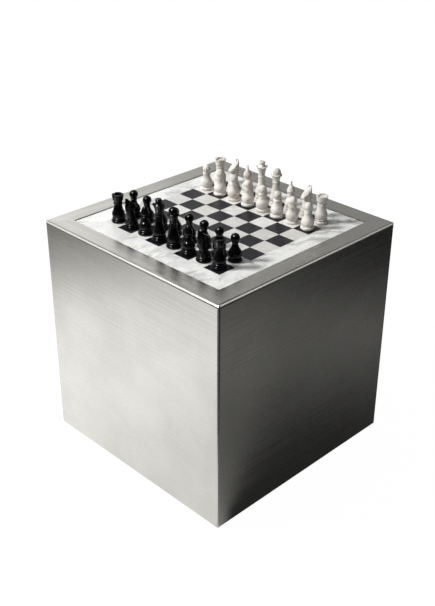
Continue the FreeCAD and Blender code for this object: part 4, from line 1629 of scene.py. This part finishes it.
    def backdrop(self) -> None:
        """Make the world: white to the camera, soft light, and a directed room for shine."""
        world = bpy.data.worlds.new("studio")
        bpy.context.scene.world = world
        world.use_nodes = True
        nodes = Nodes(world.node_tree)
        rays = nodes.add("LightPath").outputs
        way = nodes.add("TexCoord").outputs["Generated"]
        left, ahead, high = (
            nodes.vector("DOT_PRODUCT", way, axis) for axis in (self.left, self.ahead, self.up)
        )
        wall = nodes.product(
            nodes.remap(left, *self.wall_sides),
            nodes.remap(ahead, *self.wall_ahead),
            nodes.remap(high, *self.wall_rise),
        )
        near = nodes.remap(left, *self.ceiling_sides)
        ceiling = nodes.product(
            nodes.remap(ahead, *self.ceiling_far, near, self.ceiling_end),
            nodes.remap(high, *self.ceiling_rise),
            nodes.remap(ahead, *self.ceiling_near),
        )
        above = nodes.remap(high, *self.ceiling_step)
        wall = nodes.product(wall, nodes.math("SUBTRACT", 1.0, above))
        room = nodes.white("Background", nodes.total(wall, nodes.product(ceiling, above)))
        fill = nodes.white("Background", nodes.remap(left, *self.fill_sides))
        made = nodes.blend(rays["Is Glossy Ray"], fill, room)
        made = nodes.blend(rays["Is Camera Ray"], made, nodes.white("Background", 1.0))
        nodes.add("OutputWorld", {"Surface": made})

    def build(self) -> None:
        """Set up the floor, the room and the lamps."""
        self.floor()
        self.backdrop()
        for lamp in self.lamps:
            lamp.build()


@dataclass
class Viewpoint:
    """The camera: its place, the way it looks, its roll in degrees and its lens."""

    place: Triple = (-1.1696, -1.1739, 1.2054)
    way: Triple = (0.616203, 0.621101, -0.484280)
    roll: float = 0.265
    lens: float = 57.68
    sensor: float = 36.0
    nearest: float = 0.05

    def build(self) -> bpy.types.Object:
        """Make the camera and use it for the scene.

        Returns:
            The camera.
        """
        data = bpy.data.cameras.new("camera")
        data.lens, data.sensor_width, data.clip_start = self.lens, self.sensor, self.nearest
        camera = bpy.data.objects.new("camera", data)
        forward = Vector(self.way).normalized()
        right = forward.cross(Vector((0.0, 0.0, 1.0))).normalized()
        angle = math.radians(self.roll)
        tipped = right * math.cos(angle) + right.cross(forward) * math.sin(angle)
        turn = Matrix((tipped, tipped.cross(forward), -forward)).transposed()
        camera.matrix_world = Matrix.Translation(self.place) @ turn.to_4x4()
        bpy.context.scene.collection.objects.link(camera)
        bpy.context.scene.camera = camera
        return camera


def main() -> None:
    """Build the finishes, the table, the chessmen, the studio and the camera."""
    logging.basicConfig(level=logging.INFO, format="%(name)s: %(message)s")
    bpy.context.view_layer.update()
    bpy.context.scene.view_settings.view_transform = "Standard"
    make_finishes()
    for piece in Table().dress():
        log.info("%s dressed in %s", piece.name, piece.data.materials[0].name)
    for piece in ChessSet().build():
        log.info("%s has %d faces", piece.name, len(piece.data.polygons))
    Studio().build()
    camera = Viewpoint().build()
    log.info("camera at %s", tuple(round(number, 3) for number in camera.location))


if __name__ == "__main__":
    main()
